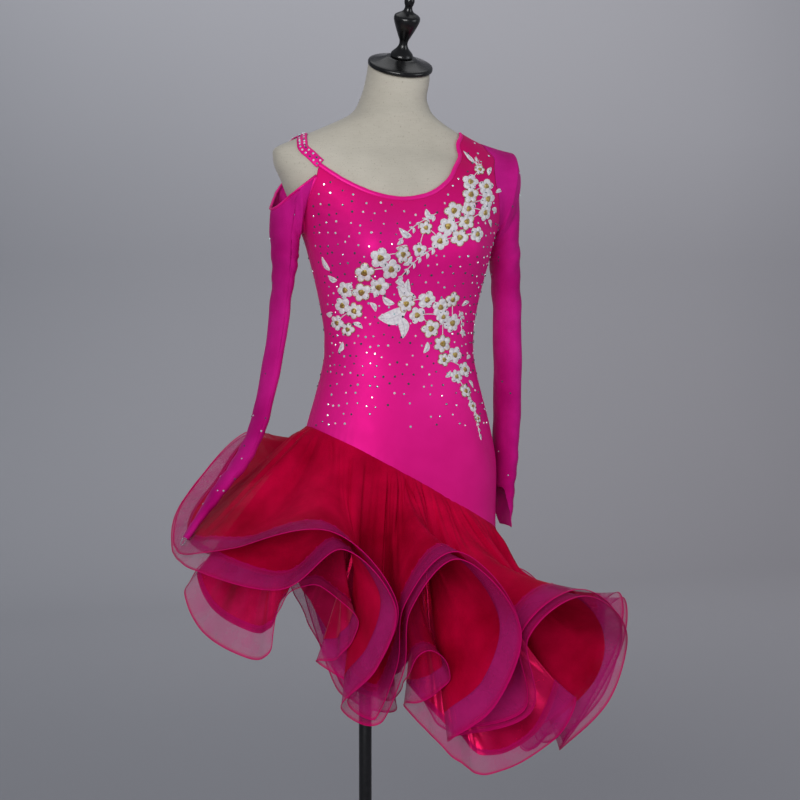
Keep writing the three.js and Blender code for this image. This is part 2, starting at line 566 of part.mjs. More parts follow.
// ---------------------------------------------------------------- appliques
function spray(name, flowers) {
  const place = flowers.map(([a, z, r]) => [onTorso(a, z, SPRAY_OFFSET), r]);
  const angles = flowers.map((f) => f[0]), heights = flowers.map((f) => f[1]);
  const from = Math.min(...angles) - 8, to = Math.max(...angles) + 8;
  const low = Math.min(...heights) - 16, high = Math.max(...heights) + 16;
  const columns = Math.ceil(((to - from) * 2.2) / SPRAY_STEP) + 1;
  const rows = Math.ceil((high - low) / SPRAY_STEP) + 1;
  const sheet = sheetFrom(columns, rows, (c, r) => onTorso(
    from + ((to - from) * c) / (columns - 1), low + ((high - low) * r) / (rows - 1), SPRAY_OFFSET,
  ));
  const field = (i) => {
    const p = sheet.points[i];
    let best = -Infinity;
    place.forEach(([centre, radius], k) => {
      const d = sub(p, centre);
      const turn = Math.atan2(d[2], d[0]);
      best = Math.max(best, radius * (1 + 0.12 * Math.cos(5 * turn + k)) - Math.hypot(...d));
      if (k > 0) {
        const e = sub(place[k - 1][0], centre);
        const t = clamp(dot(d, e) / dot(e, e), 0, 1);
        best = Math.max(best, STEM_RADIUS - Math.hypot(...sub(d, e.map((v) => v * t))));
      }
    });
    return best;
  };
  piece(name, wall(largest(trim(sheet, field)), -CLOTH / 2, CLOTH / 2), LACE, 0.6);
}
spray('applique_shoulder', SHOULDER_SPRAY);
spray('applique_bust', BUST_SPRAY);
spray('applique_waist', WAIST_SPRAY);

export default group;
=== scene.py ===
"""One-shoulder dance dress on a limbless dress form.

Lengths in the tables are millimetres in the part's own frame: +Z up, the dress
faces -Y, the origin on the floor under the pole. Meshes are made in metres.
"""

import math

import bpy
import numpy as np
from mathutils import Matrix


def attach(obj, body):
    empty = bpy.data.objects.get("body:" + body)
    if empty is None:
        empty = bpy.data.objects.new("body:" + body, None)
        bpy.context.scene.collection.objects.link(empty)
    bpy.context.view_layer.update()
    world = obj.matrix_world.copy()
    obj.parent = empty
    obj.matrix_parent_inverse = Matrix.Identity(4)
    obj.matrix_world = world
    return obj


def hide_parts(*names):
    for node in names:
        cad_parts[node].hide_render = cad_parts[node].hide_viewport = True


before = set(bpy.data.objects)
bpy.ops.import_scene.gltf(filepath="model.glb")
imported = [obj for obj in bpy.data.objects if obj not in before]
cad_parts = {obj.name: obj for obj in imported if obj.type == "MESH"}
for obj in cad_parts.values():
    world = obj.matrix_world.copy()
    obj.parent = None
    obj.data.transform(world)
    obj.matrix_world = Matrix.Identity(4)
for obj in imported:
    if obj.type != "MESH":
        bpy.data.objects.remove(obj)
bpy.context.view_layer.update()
RANDOM = np.random.default_rng(11)
MM = 0.001

# --- sizes
FORM_AXIS = np.array([28.0, -85.0])
FORM_BOTTOM, NECK_TOP, NECK_TILT = 785.0, 1478.0, 24.0
LEFT_SHOULDER = dict(drop=14, narrow=0.07, start=1270, over=90, neck=0.2)
SQUARENESS = 2.25
SEAM_Z, SEAM_SLOPE = 830.0, 0.562
POLE_RADIUS, BASE_RADIUS, BASE_THICK = 10.5, 170.0, 12.0
BRAID_SPLIT, CLOTH_ROWS = 0.885, 43   # where a layer's braid starts, rows above it
SEAM_LAP = 5.0   # how far a layer reaches up behind the hip seam

# height, half width, front depth, back depth, shift in y
TORSO = np.array([
    [780, 158, 96, 112, 0], [860, 157, 103, 122, 0], [912, 147, 100, 113, 0],
    [960, 134, 95, 98, 0], [1000, 124, 88, 84, 0], [1036, 119, 84, 76, 0],
    [1060, 119, 85, 76, 0], [1100, 124, 89, 82, 0], [1140, 132, 96, 90, 0],
    [1180, 142, 103, 98, 0], [1213, 152, 106, 102, 0], [1262, 174, 101, 104, 0],
    [1300, 190, 92, 101, 2], [1335, 203, 78, 88, 5], [1352, 200, 66, 74, 6],
    [1365, 172, 60, 68, 5], [1385, 124, 56, 64, 3], [1407, 78, 54, 60, 0],
    [1430, 61, 51, 54, 1], [1460, 52, 49, 50, -2], [1490, 49, 48, 49, -6],
], float)
BUST = dict(x=84, z=1192, rise=27, wide=50, tall=52)

FRONT_NECK = [
    [-136, 1323], [-125, 1298], [-111, 1278], [-97, 1271], [-86, 1280], [-77, 1303],
    [-71, 1335], [-60, 1370], [-34, 1389],
]
BACK_NECK = [
    [30, 1390], [52, 1374], [68, 1342], [84, 1318], [104, 1308], [120, 1314], [132, 1326],
]
LEFT_ARMHOLE = [
    [0, 1376], [13, 1374], [26, 1364], [35, 1346], [38, 1318], [37, 1288], [32, 1258],
    [18, 1226], [0, 1212], [-18, 1224], [-33, 1253], [-42, 1285], [-46, 1312],
    [-45, 1338], [-36, 1362], [-19, 1374],
]
RIGHT_ARMHOLE = [
    [180, 1376], [167, 1374], [154, 1362], [145, 1344], [141, 1318], [146, 1292],
    [155, 1268], [167, 1244], [180, 1221], [192, 1247], [203, 1268], [212, 1288],
    [219, 1306], [224, 1324], [217, 1350], [199, 1371],
]
STRAP = [
    [-135, 1324], [-142, 1344], [-152, 1359], [-180, 1371], [-207, 1361], [-220, 1347],
    [-228, 1327],
]

# sleeve rings: x, y, z from the form's axis, half size along the ring's slope,
# slope in degrees, half size front to back
LEFT_SLEEVE = [
    [173, 4, 1282, 71, 75, 62], [178, 4, 1266, 66, 70, 54], [180, 5, 1243, 48, 62, 43],
    [181, 5, 1208, 29, 40, 38], [183, 5, 1172, 22, 8, 37],
    [186, 4, 1110, 20, 0, 36], [187, 3, 1040, 20, 0, 36], [187, 2, 970, 19, 0, 37],
    [185, 2, 900, 18, 0, 37], [182, 3, 840, 16, 0, 37], [179, 4, 790, 14, 0, 35],
    [178, 4, 742, 12, 0, 30],
]
RIGHT_SLEEVE = [
    [179, 4, 1288, 73, 80, 62], [183, 4, 1268, 66, 76, 52], [184, 5, 1245, 50, 70, 43],
    [187, 5, 1208, 29, 45, 38], [186, 5, 1172, 18, 10, 35],
    [192, 6, 1120, 14, 4, 33], [201, 7, 1050, 13, 8, 31], [214, 8, 985, 12, 11, 30],
    [229, 9, 925, 11, 16, 29], [252, 13, 874, 11, 24, 27], [286, 19.5, 828, 9, 34, 23],
    [318, 23, 784, 6, 36, 16], [342, 24, 750, 4, 38, 9],
]
COLD_SHOULDER = dict(low=1258, slope=1.2, start=-205)
LEFT_CUFF = dict(point=748, rise=66, start=186, over=16)

# flutes: left side, crest, right side, roll under, fold, valley, way to the next;
# each: direction in degrees, stand-out, drop from the hip seam
OUTER_TULLE = [
    [[-46, 192, 150], [-17, 220, 80], [-1, 218, 160], [-6, 186, 262],
     [-18, 134, 345], [-9, 98, 366], [0, 150, 268]],
    [[2, 206, 165], [14, 243, 74], [31, 232, 165], [28, 200, 282],
     [19, 150, 350], [25, 106, 352], [43, 172, 300]],
    [[34, 218, 185], [51, 239, 110], [84, 212, 178], [86, 186, 262],
     [77, 142, 330], [84, 118, 345], [89, 150, 290]],
    [[88, 196, 200], [104, 216, 112], [121, 206, 190], [120, 176, 280],
     [113, 124, 345], [119, 108, 350], [125, 150, 300]],
    [[125, 192, 210], [143, 206, 122], [161, 196, 200], [161, 168, 300],
     [153, 126, 368], [160, 112, 375], [167, 150, 320]],
    [[166, 188, 232], [186, 200, 132], [206, 192, 205], [207, 168, 300],
     [198, 136, 385], [205, 128, 380], [213, 160, 240]],
    [[215, 175, 118], [232, 170, -20], [258, 206, 100], [276, 209, 168],
     [283, 207, 182], [289, 205, 186], [298, 200, 178]],
]
SATIN = [
    [[-41, 138, 240], [-25, 164, 174], [-13, 154, 214], [-21, 122, 284],
     [-34, 84, 318], [-15, 56, 345], [-3, 72, 338]],
    [[2, 134, 290], [9, 174, 228], [18, 143, 272], [10, 99, 322],
     [3, 58, 345], [24, 56, 388], [31, 92, 408]],
    [[36, 134, 408], [54, 178, 345], [68, 172, 275], [68, 130, 312],
     [64, 92, 348], [80, 72, 362], [94, 104, 310]],
    [[97, 138, 258], [104, 160, 195], [111, 140, 255], [106, 108, 312],
     [101, 74, 355], [118, 68, 365], [130, 104, 320]],
    [[133, 136, 270], [142, 154, 208], [150, 132, 268], [146, 106, 330],
     [140, 76, 384], [160, 72, 396], [172, 108, 350]],
    [[174, 132, 300], [182, 146, 240], [189, 126, 290], [187, 100, 350],
     [182, 78, 400], [204, 78, 400], [219, 108, 300]],
    [[224, 122, 250], [238, 122, 176], [262, 156, 200], [279, 192, 248],
     [290, 180, 300], [305, 152, 325], [316, 142, 312]],
]
FLUTE_ROOTS = [-9, 21, 80, 115, 150, 200, 285]   # where each valley starts at the seam
FLUTE_START = -110
# the second tulle's own places at the front left: flute, point: direction, stand-out, drop
SECOND_OWN = {(0, 0): [-33, 190, 180], (0, 1): [-14, 218, 92], (6, 6): [298, 200, 190]}
# cuts, metres and square metres: hem length, depth, area of the flounce laid flat
TULLE_CUT, TULLE_BRAID = (4.2, 0.31, 0.56), (4.6, 0.04, 0.18)
SATIN_CUT, SATIN_BRAID = (3.4, 0.31, 0.47), (3.6, 0.035, 0.12)
POINT_CREST = [0.5, 1, 0.5, 0, 0, 0, 0]

# flowers of the three sprays: angle, height, radius
FLOWERS = {
    "applique_shoulder": [
        [-58, 1328, 8], [-65, 1302, 12], [-54, 1295, 12], [-65, 1279, 12], [-52, 1273, 12],
        [-75, 1253, 12], [-66, 1256, 11], [-53, 1251, 11], [-67, 1236, 11], [-78, 1229, 12],
        [-71, 1212, 11], [-59, 1217, 10], [-82, 1207, 11], [-89, 1227, 9], [-92, 1194, 9],
    ],
    "applique_bust": [
        [-102, 1187, 11], [-118, 1182, 12], [-110, 1165, 12], [-129, 1160, 12],
        [-118, 1138, 12], [-131, 1130, 12], [-145, 1133, 11], [-149, 1109, 11],
        [-138, 1101, 11], [-158, 1082, 10], [-146, 1072, 9],
    ],
    "applique_waist": [
        [-98, 1112, 11], [-86, 1118, 11], [-76, 1106, 11],
        [-67, 1118, 10], [-64, 1081, 12], [-82, 1073, 12], [-91, 1094, 11], [-73, 1091, 9],
        [-72, 1049, 12], [-60, 1031, 11], [-71, 1024, 9], [-50, 1007, 10], [-61, 997, 9],
        [-54, 974, 9], [-49, 950, 7], [-46, 930, 6],
    ],
}
# sprigs of buds: from angle, height, to angle, height, pairs of buds, their length
SPRIGS = {
    "applique_shoulder": [[(-84, 1249), (-103, 1208), 6, 9], [(-84, 1200), (-103, 1152), 6, 9],
                          [(-60, 1318), (-57, 1344), 3, 9]],
    "applique_bust": [],
    "applique_waist": [[(-52, 968), (-47, 903), 9, 6], [(-58, 1100), (-52, 1066), 4, 8]],
}
# leaves: angle, height, length, turn in degrees from +angle
LEAVES = {
    "applique_shoulder": [
        [-60, 1341, 20, 100], [-52, 1318, 18, 60], [-45, 1285, 16, 10], [-46, 1258, 16, -20],
        [-96, 1214, 24, 150], [-99, 1200, 22, 190], [-96, 1184, 20, 220], [-86, 1240, 18, 120],
        [-48, 1240, 16, -40],
    ],
    "applique_bust": [
        [-158, 1163, 24, 120], [-152, 1148, 20, 160], [-163, 1098, 18, 190],
        [-152, 1052, 18, 240], [-140, 1082, 16, -30], [-106, 1146, 18, -30],
        [-124, 1114, 16, -60],
    ],
    "applique_waist": [
        [-97, 1106, 54, 197], [-103, 1094, 36, -78], [-92, 1121, 40, 152],
        [-96, 1128, 22, 100], [-106, 1112, 22, 150], [-56, 1108, 16, 20], [-54, 1066, 16, -20],
        [-84, 1052, 18, 250], [-44, 1024, 14, 10], [-46, 990, 14, -60], [-66, 1006, 14, 220],
    ],
}


# --- numbers
def smooth(t):
    s = np.clip(t, 0, 1)
    return s * s * (3 - 2 * s)


def unit(p):
    return p / np.maximum(np.linalg.norm(p, axis=-1, keepdims=True), 1e-12)


def hermite(a, b, slope_a, slope_b, t):
    return ((2 * t**3 - 3 * t**2 + 1) * a + (t**3 - 2 * t**2 + t) * slope_a
            + (3 * t**2 - 2 * t**3) * b + (t**3 - t**2) * slope_b)


def through(column, x):
    """Smooth curve through a column of TORSO."""
    xs, ys = TORSO[:, 0], TORSO[:, column]
    slope = np.diff(ys) / np.diff(xs)
    m = np.concatenate([[slope[0]], (slope[:-1] + slope[1:]) / 2, [slope[-1]]])
    m[1:-1][slope[:-1] * slope[1:] <= 0] = 0
    x = np.clip(x, xs[0], xs[-1])
    i = np.clip(np.searchsorted(xs, x) - 1, 0, len(xs) - 2)
    h = xs[i + 1] - xs[i]
    return hermite(ys[i], ys[i + 1], h * m[i], h * m[i + 1], (x - xs[i]) / h)


def spline(rows, u, turn=None):
    """Catmull-Rom through rows; with a turn it is closed, column 0 turning each lap."""
    rows, u = np.asarray(rows, float), np.asarray(u, float)
    n = len(rows)
    i = np.floor(u).astype(int)
    if turn is None:
        i = np.minimum(i, n - 2)
    t = (u - i)[..., None]

    def row(k):
        if turn is None:
            return rows[np.clip(k, 0, n - 1)]
        r = rows[k % n].copy()
        r[..., 0] += turn * np.floor_divide(k, n)
        return r

    a, b, c, d = row(i - 1), row(i), row(i + 1), row(i + 2)
    return hermite(b, c, (c - a) / 2, (d - b) / 2, t)


# --- torso
def torso(angle, z):
    a = np.radians(angle)
    c, s = np.cos(a), np.sin(a)
    power = 2 / SQUARENESS
    left = (c > 0) * smooth((z - LEFT_SHOULDER["start"]) / LEFT_SHOULDER["over"])
    neck = LEFT_SHOULDER["neck"] * smooth((z - 1388) / 30) * (1 - smooth((z - 1430) / 44))
    x = (through(1, z) * (1 - (LEFT_SHOULDER["narrow"] + neck) * left)
         * np.sign(c) * np.abs(c) ** power)
    depth = np.where(s < 0, through(2, z), through(3, z))
    y = depth * np.sign(s) * np.abs(s) ** power
    y = y - (s < 0) * BUST["rise"] * np.clip(-s * 1.6, 0, 1) * np.exp(
        -(((np.abs(x) - BUST["x"]) / BUST["wide"]) ** 2)
        - ((z - BUST["z"]) / BUST["tall"]) ** 2)
    shift = through(4, z)
    lean = smooth((z - 1400) / (NECK_TOP - 1400)) * math.tan(math.radians(NECK_TILT))
    drop = LEFT_SHOULDER["drop"] * left * smooth(x / 110) * (1 - smooth((z - 1400) / 60))
    return np.stack([x + FORM_AXIS[0], y + shift + FORM_AXIS[1], z - drop + y * lean], -1)


def torso_normal(angle, z):
    across = torso(angle + 1.5, z) - torso(angle - 1.5, z)
    up = torso(angle, z + 2) - torso(angle, z - 2)
    return unit(np.cross(across, up))


def on_torso(angle, z, out):
    angle, z = np.asarray(angle, float), np.asarray(z, float)
    return torso(angle, z) + torso_normal(angle, z) * np.asarray(out, float)[..., None]


def seam_in_direction(direction):
    """Distance from the form's axis and height of the hip seam in a direction."""
    z = np.full(direction.shape, SEAM_Z)
    for _ in range(5):
        level = np.clip(z, 790, 1100)
        angle = direction.copy()
        for _ in range(8):
            p = torso(angle, level)
            now = np.degrees(np.arctan2(p[..., 1] - FORM_AXIS[1], p[..., 0] - FORM_AXIS[0]))
            angle += (direction - now + 540) % 360 - 180
        p = torso(angle, level)
        reach = np.hypot(p[..., 0] - FORM_AXIS[0], p[..., 1] - FORM_AXIS[1])
        z = SEAM_Z - SEAM_SLOPE * reach * np.cos(np.radians(direction))
    return reach, z


# --- meshes
def grid_normals(p, closed):
    """Normals of a grid of points [row, column]; rows run up, columns turn left."""
    if closed:
        along = np.roll(p, -1, 1) - np.roll(p, 1, 1)
    else:
        along = np.gradient(p, axis=1)
    return unit(np.cross(along, np.gradient(p, axis=0)))


def grid_faces(rows, columns, closed):
    r, c = np.meshgrid(np.arange(rows - 1), np.arange(columns if closed else columns - 1),
                       indexing="ij")
    d = (c + 1) % columns
    quad = np.stack([r * columns + c, r * columns + d, (r + 1) * columns + d,
                     (r + 1) * columns + c], -1)
    return quad.reshape(-1, 4)


def new_object(name, verts, faces, material, uv=None, attributes=None, flat=False):
    """verts in millimetres; faces an array or list; uv and attributes per vertex."""
    mesh = bpy.data.meshes.new(name)
    faces = [tuple(int(i) for i in f) for f in faces]
    mesh.from_pydata((np.asarray(verts) * MM).tolist(), [], faces)
    if uv is not None:
        layer = mesh.uv_layers.new(name="UVMap")
        loops = np.zeros(len(mesh.loops), np.int32)
        mesh.loops.foreach_get("vertex_index", loops)
        layer.data.foreach_set("uv", np.asarray(uv, np.float32)[loops].ravel())
    for key, values in (attributes or {}).items():
        layer = mesh.attributes.new(key, "FLOAT", "POINT")
        layer.data.foreach_set("value", np.asarray(values, np.float32).ravel())
    mesh.polygons.foreach_set("use_smooth", [not flat] * len(mesh.polygons))
    mesh.materials.append(material)
    obj = bpy.data.objects.new(name, mesh)
    bpy.context.collection.objects.link(obj)
    return obj


def dress(obj, slot, *nodes):
    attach(obj, "root")
    if nodes:
        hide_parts(*nodes)


def grid_object(name, p, closed, material, attributes=None):
    rows, columns = p.shape[:2]
    u, v = (np.concatenate([[0], np.cumsum(np.linalg.norm(step, axis=-1).mean(axis))])
            for axis, step in ((0, np.roll(p, -1, 1) - p), (1, np.diff(p, axis=0))))
    uv = np.stack(np.meshgrid(u[:columns], v), -1).reshape(-1, 2) * MM
    faces = grid_faces(rows, columns, closed)
    attributes = {k: np.broadcast_to(a, (rows, columns)) for k, a in (attributes or {}).items()}
    return new_object(name, p.reshape(-1, 3), faces, material, uv, attributes)


def thicken(obj, thickness):
    m = obj.modifiers.new("wall", "SOLIDIFY")
    m.thickness = thickness * MM
    m.offset = -1


def tube(points, radius, sides=10, closed=False, flatten=1.0, lean=None):
    """Verts and faces of a tube along points; flatten thins it along its normals."""
    p = np.asarray(points, float)
    n = len(p)
    t = np.roll(p, -1, 0) - np.roll(p, 1, 0) if closed else np.gradient(p, axis=0)
    t = unit(t)
    if lean is None:
        up = np.tile([0.0, 0.0, 1.0], (n, 1))
        up[np.abs(t[:, 2]) > 0.9] = [0, 1, 0]
    else:
        up = lean
    side = unit(np.cross(t, up))
    up = np.cross(side, t)
    a = np.linspace(0, 2 * np.pi, sides, endpoint=False)
    r = np.broadcast_to(np.asarray(radius, float), (n,))[:, None, None]
    ring = (p[:, None] + r * (np.cos(a)[None, :, None] * side[:, None]
                              + flatten * np.sin(a)[None, :, None] * up[:, None]))
    verts = ring.reshape(-1, 3)
    faces = []
    for i in range(0, (n if closed else n - 1) * sides, sides):
        j = (i + sides) % (n * sides)
        faces += [(i + k, i + (k + 1) % sides, j + (k + 1) % sides, j + k)
                  for k in range(sides)]
    if not closed:
        faces += [range(sides)[::-1], range((n - 1) * sides, n * sides)]
    return verts, faces


def joined(parts):
    """Join (verts, faces) pairs into one pair."""
    verts, faces, at = [], [], 0
    for v, f in parts:
        verts.append(v)
        faces += [[i + at for i in face] for face in f]
        at += len(v)
    return np.concatenate(verts), faces


def lathe(profile, sides):
    """Verts and faces of a turned solid about Z; profile rows are radius, height."""
    profile = np.asarray(profile, float)
    a = np.linspace(0, 2 * np.pi, sides, endpoint=False)
    ring = np.stack([np.cos(a), np.sin(a), np.zeros(sides)], -1)
    inner = profile[1:-1]
    verts = (ring[None] * inner[:, None, :1] + np.array([0, 0, 1]) * inner[:, None, 1:2])
    verts = np.concatenate([verts.reshape(-1, 3), [[0, 0, profile[0][1]]],
                            [[0, 0, profile[-1][1]]]])
    end = len(inner) * sides
    faces = [*grid_faces(len(inner), sides, True)]
    for k in range(sides):
        m = (k + 1) % sides
        faces += [(end, m, k), (end + 1, end - sides + k, end - sides + m)]
    return verts, faces


def rounded(profile, steps=6):
    """Profile rows resampled on a smooth curve, ends kept on the axis."""
    profile = np.asarray(profile, float)
    u = np.linspace(0, len(profile) - 1, (len(profile) - 1) * steps + 1)
    out = spline(profile, u)
    out[:, 0] = np.maximum(out[:, 0], 0)
    return out


# --- materials
class Material:
    """Short calls for one material's node tree."""

    def __init__(self, name, colour, roughness, **sockets):
        self.made = bpy.data.materials.new(name)
        self.made.use_nodes = True
        self.tree = self.made.node_tree
        self.shader = self.tree.nodes["Principled BSDF"]
        self.set("Base Color", (*colour, 1))
        self.set("Roughness", roughness)
        for key, value in sockets.items():
            self.set(key.replace("_", " "), value)

    def add(self, kind, inputs, out=0, **settings):
        node = self.tree.nodes.new(kind)
        for key, value in settings.items():
            setattr(node, key, value)
        for key, value in inputs.items():
            self.put(value, node.inputs[key])
        return node.outputs[out]

    def put(self, value, socket):
        if isinstance(value, bpy.types.NodeSocket):
            self.tree.links.new(value, socket)
        else:
            socket.default_value = value

    def set(self, key, value):
        self.put(value, self.shader.inputs[key])

    def coords(self, scale=(1, 1, 1), turn=0.0, uv=False):
        source = self.add("ShaderNodeTexCoord", {}, "UV" if uv else "Object")
        return self.add("ShaderNodeMapping", {"Vector": source, "Scale": scale,
                                              "Rotation": (0, 0, turn)})

    def part(self, axis):
        """One coordinate of a place: 0 for x, 2 for z."""
        return self.add("ShaderNodeSeparateXYZ", {"Vector": self.coords()}, axis)

    def noise(self, vector, scale, detail=3.0, rough=0.5):
        return self.add("ShaderNodeTexNoise", {"Vector": vector, "Scale": scale,
                                               "Detail": detail, "Roughness": rough})

    def wave(self, vector, scale, direction="X", distortion=0.0):
        return self.add("ShaderNodeTexWave", {"Vector": vector, "Scale": scale,
                                              "Distortion": distortion},
                        "Fac", bands_direction=direction)

    def math(self, operation, a, b=0.0, clamp=False):
        return self.add("ShaderNodeMath", {0: a, 1: b}, operation=operation, use_clamp=clamp)

    def spread(self, value, low, high, to_low=0.0, to_high=1.0):
        return self.add("ShaderNodeMapRange", {"Value": value, "From Min": low,
                                               "From Max": high, "To Min": to_low,
                                               "To Max": to_high})

    def mix(self, factor, a, b):
        a, b = ((*c, 1) if isinstance(c, tuple) else c for c in (a, b))
        return self.add("ShaderNodeMix", {0: factor, 6: a, 7: b}, 2, data_type="RGBA")

    def mottle(self, scale, detail, a, b, low=0.3, high=0.7):
        """Patches between two colours."""
        patch = self.noise(self.coords(), scale, detail)
        return self.mix(self.spread(patch, low, high), a, b)

    def bump(self, height, strength, distance, **normal):
        return self.add("ShaderNodeBump", {"Height": height, "Strength": strength,
                                           "Distance": distance, **normal})

    def attribute(self, name):
        return self.add("ShaderNodeAttribute", {}, "Fac", attribute_name=name)


def linear(r, g, b):
    return tuple(c / 255 / 12.92 if c <= 10 else ((c / 255 + 0.055) / 1.055) ** 2.4
                 for c in (r, g, b))


def cloth(name, colour, dark, roughness, weave, variation=6.0, sheen=0.0, coat=0.0,
          specular=0.3, metallic=0.2, chest_painted_shade=None):
    """A knitted or woven cloth: weave is the thread pitch in metres."""
    n = Material(name, colour, roughness, Sheen_Weight=sheen, Sheen_Roughness=0.4,
                 Sheen_Tint=(*colour, 1), Coat_Weight=coat, Coat_Roughness=0.35,
                 Specular_IOR_Level=specular, Specular_Tint=(*colour, 1), Metallic=metallic)
    plain = n.coords()
    base = n.mottle(variation, 4, dark, colour)
    if chest_painted_shade:   # painted shade: towards the shoulders the satin darkens to a deeper red, where the upper chest faces up, away from the lamps
        height = n.part(2)
        cloud = n.spread(n.noise(plain, 5, 2), 0.3, 0.7, -0.2, 0.2)
        up = n.math("ADD", n.spread(height, 1.2, 1.33, 0.0, 0.85), cloud, True)
        base = n.mix(n.math("MULTIPLY", up, n.spread(height, 1.17, 1.25)), base, chest_painted_shade)
    n.set("Base Color", base)
    n.set("Roughness", n.spread(n.noise(plain, variation * 5, 3), 0.3, 0.7,
                                roughness - 0.05, roughness + 0.06))
    threads = n.math("ADD", n.wave(plain, 0.5 / weave, "Z"),
                     n.wave(n.coords(turn=0.8), 0.5 / weave, "X"))
    first = n.bump(n.noise(plain, 90, 3), 0.10, 0.002)
    n.set("Normal", n.bump(threads, 0.12, weave * 0.4, Normal=first))
    return n.made


FUCHSIA, FUCHSIA_DARK = linear(236, 34, 146), linear(208, 20, 120)
MAGENTA, MAGENTA_DARK = linear(206, 30, 140), linear(168, 10, 104)
CRIMSON, CRIMSON_DARK = linear(206, 6, 62), linear(150, 0, 34)
RED_SATIN, RED_SATIN_DARK = linear(240, 20, 98), linear(178, 2, 56)
BRAID_PINK, BRAID_DEEP = linear(188, 34, 116), linear(188, 14, 96)
BINDING = linear(232, 20, 132)
LINEN, LINEN_DARK = linear(204, 198, 184), linear(176, 170, 156)

# the fuchsia satin carries a painted shade: darker red on the upper chest towards the shoulders
satin = cloth("satin_fuchsia", FUCHSIA, FUCHSIA_DARK, 0.5, 0.0005, 5.0, 0.2,
              chest_painted_shade=linear(196, 14, 88))
binding_satin = cloth("binding_satin", BINDING, FUCHSIA, 0.36, 0.0005, 20.0, 0.2, 0.1)
red_satin = cloth("satin_red", RED_SATIN, RED_SATIN_DARK, 0.22, 0.0004, 14.0, 0.2, 0.12, 0.8, 0.45)
hem_thread = cloth("hem_thread", linear(204, 8, 104), BRAID_DEEP, 0.5, 0.0006, 60.0, 0.2, 0, 0.2, 0)


def sheer(name, colour, dark, alpha_low, alpha_high, roughness, sheen=0.3):
    n = Material(name, colour, roughness, Sheen_Weight=sheen, Sheen_Roughness=0.5,
                 Sheen_Tint=(*colour, 1), Specular_IOR_Level=0.12,
                 Specular_Tint=(*colour, 1))
    plain = n.coords()
    n.set("Base Color", n.mottle(9, 4, dark, colour, 0.32, 0.68))
    fine = n.noise(plain, 900, 2, 0.7)
    soft = n.noise(plain, 40, 3)
    n.set("Alpha", n.spread(n.math("ADD", n.math("MULTIPLY", fine, 0.6),
                                   n.math("MULTIPLY", soft, 0.4)), 0.36, 0.62,
                            alpha_low, alpha_high))
    n.set("Normal", n.bump(fine, 0.18, 0.0006))
    return n.made


mesh_knit = sheer("sleeve_mesh", MAGENTA, MAGENTA_DARK, 0.84, 1.0, 0.55, 0.25)
tulle = sheer("tulle", CRIMSON, CRIMSON_DARK, 0.74, 0.96, 0.66, 0.15)


def braid_material():
    n = Material("horsehair_braid", BRAID_PINK, 0.5, Specular_IOR_Level=0.2,
                 Specular_Tint=(*BRAID_PINK, 1))
    edge = n.attribute("across")
    a = n.wave(n.coords(turn=0.785, uv=True), 260, "X")
    b = n.wave(n.coords(turn=-0.785, uv=True), 260, "X")
    net = n.math("MAXIMUM", a, b)
    strand = n.spread(net, 0.35, 0.75)
    top = n.spread(edge, 0.0, 0.16, 1, 0)
    hem = n.spread(edge, 0.80, 0.96, 0, 1)
    solid = n.math("MAXIMUM", top, hem, True)
    cloud = n.spread(n.noise(n.coords(), 22, 3), 0.3, 0.7, -0.10, 0.12)
    alpha = n.math("ADD", n.spread(strand, 0, 1, 0.36, 0.58), cloud)
    n.set("Alpha", n.math("MAXIMUM", alpha, n.math("MULTIPLY", solid, 0.84), True))
    n.set("Base Color", n.mix(solid, BRAID_PINK, BRAID_DEEP))
    n.set("Normal", n.bump(net, 0.3, 0.0004))
    return n.made


braid = braid_material()


def linen_material():
    n = Material("form_linen", LINEN, 0.86, Sheen_Weight=0.15, Specular_IOR_Level=0.25)
    plain = n.coords()
    warp, weft = n.wave(plain, 420, "X", 1.0), n.wave(plain, 420, "Z", 1.0)
    slub = n.noise(n.coords((60, 60, 900)), 1, 2)
    fleck = n.spread(n.noise(n.coords((700, 700, 260)), 1, 1), 0.66, 0.74)
    weave = n.math("ADD", n.math("MULTIPLY", warp, weft), n.math("MULTIPLY", slub, 0.6))
    patch = n.spread(n.math("ADD", n.noise(plain, 7, 4), n.math("MULTIPLY", slub, 0.3)),
                     0.4, 0.95)
    n.set("Base Color", n.mix(n.math("MULTIPLY", fleck, 0.5), n.mix(patch, LINEN_DARK, LINEN),
                              linear(128, 116, 96)))
    n.set("Normal", n.bump(weave, 0.25, 0.0005))
    return n.made


linen = linen_material()


def gloss_material(name, colour, roughness, coat, metallic=0.0):
    n = Material(name, colour, roughness, Coat_Weight=coat, Coat_Roughness=0.08,
                 Metallic=metallic)
    plain = n.coords()
    dust = tuple(c * 1.6 + 0.001 for c in colour)
    n.set("Base Color", n.mottle(120, 4, colour, dust, 0.45, 0.75))
    n.set("Roughness", n.spread(n.noise(plain, 60, 3), 0.3, 0.7, roughness, roughness + 0.12))
    n.set("Normal", n.bump(n.noise(plain, 500, 2), 0.04, 0.0003))
    return n.made


black_gloss = gloss_material("black_gloss", (0.0012, 0.0012, 0.0014), 0.2, 0.05)
black_metal = gloss_material("black_metal", (0.008, 0.008, 0.009), 0.3, 0.2, 0.4)


def thread_material(name, colour, shade, roughness, metallic, pitch):
    n = Material(name, colour, roughness, Metallic=metallic, Sheen_Weight=0.2)
    strand = n.wave(n.coords(), 0.5 / pitch, "DIAGONAL", 2.0)
    n.set("Base Color", n.mottle(260, 2, shade, colour))
    n.set("Normal", n.bump(strand, 0.5, pitch * 0.6))
    return n.made


lace, silver, gold = (
    thread_material(name, linear(*colour), linear(*shade), roughness, metallic, pitch)
    for name, colour, shade, roughness, metallic, pitch in (
        ("lace_white", (240, 238, 240), (208, 202, 210), 0.55, 0.0, 0.0007),
        ("lace_silver", (214, 214, 222), (160, 160, 170), 0.3, 0.8, 0.0006),
        ("lace_gold", (216, 190, 110), (150, 118, 44), 0.35, 0.75, 0.0006)))


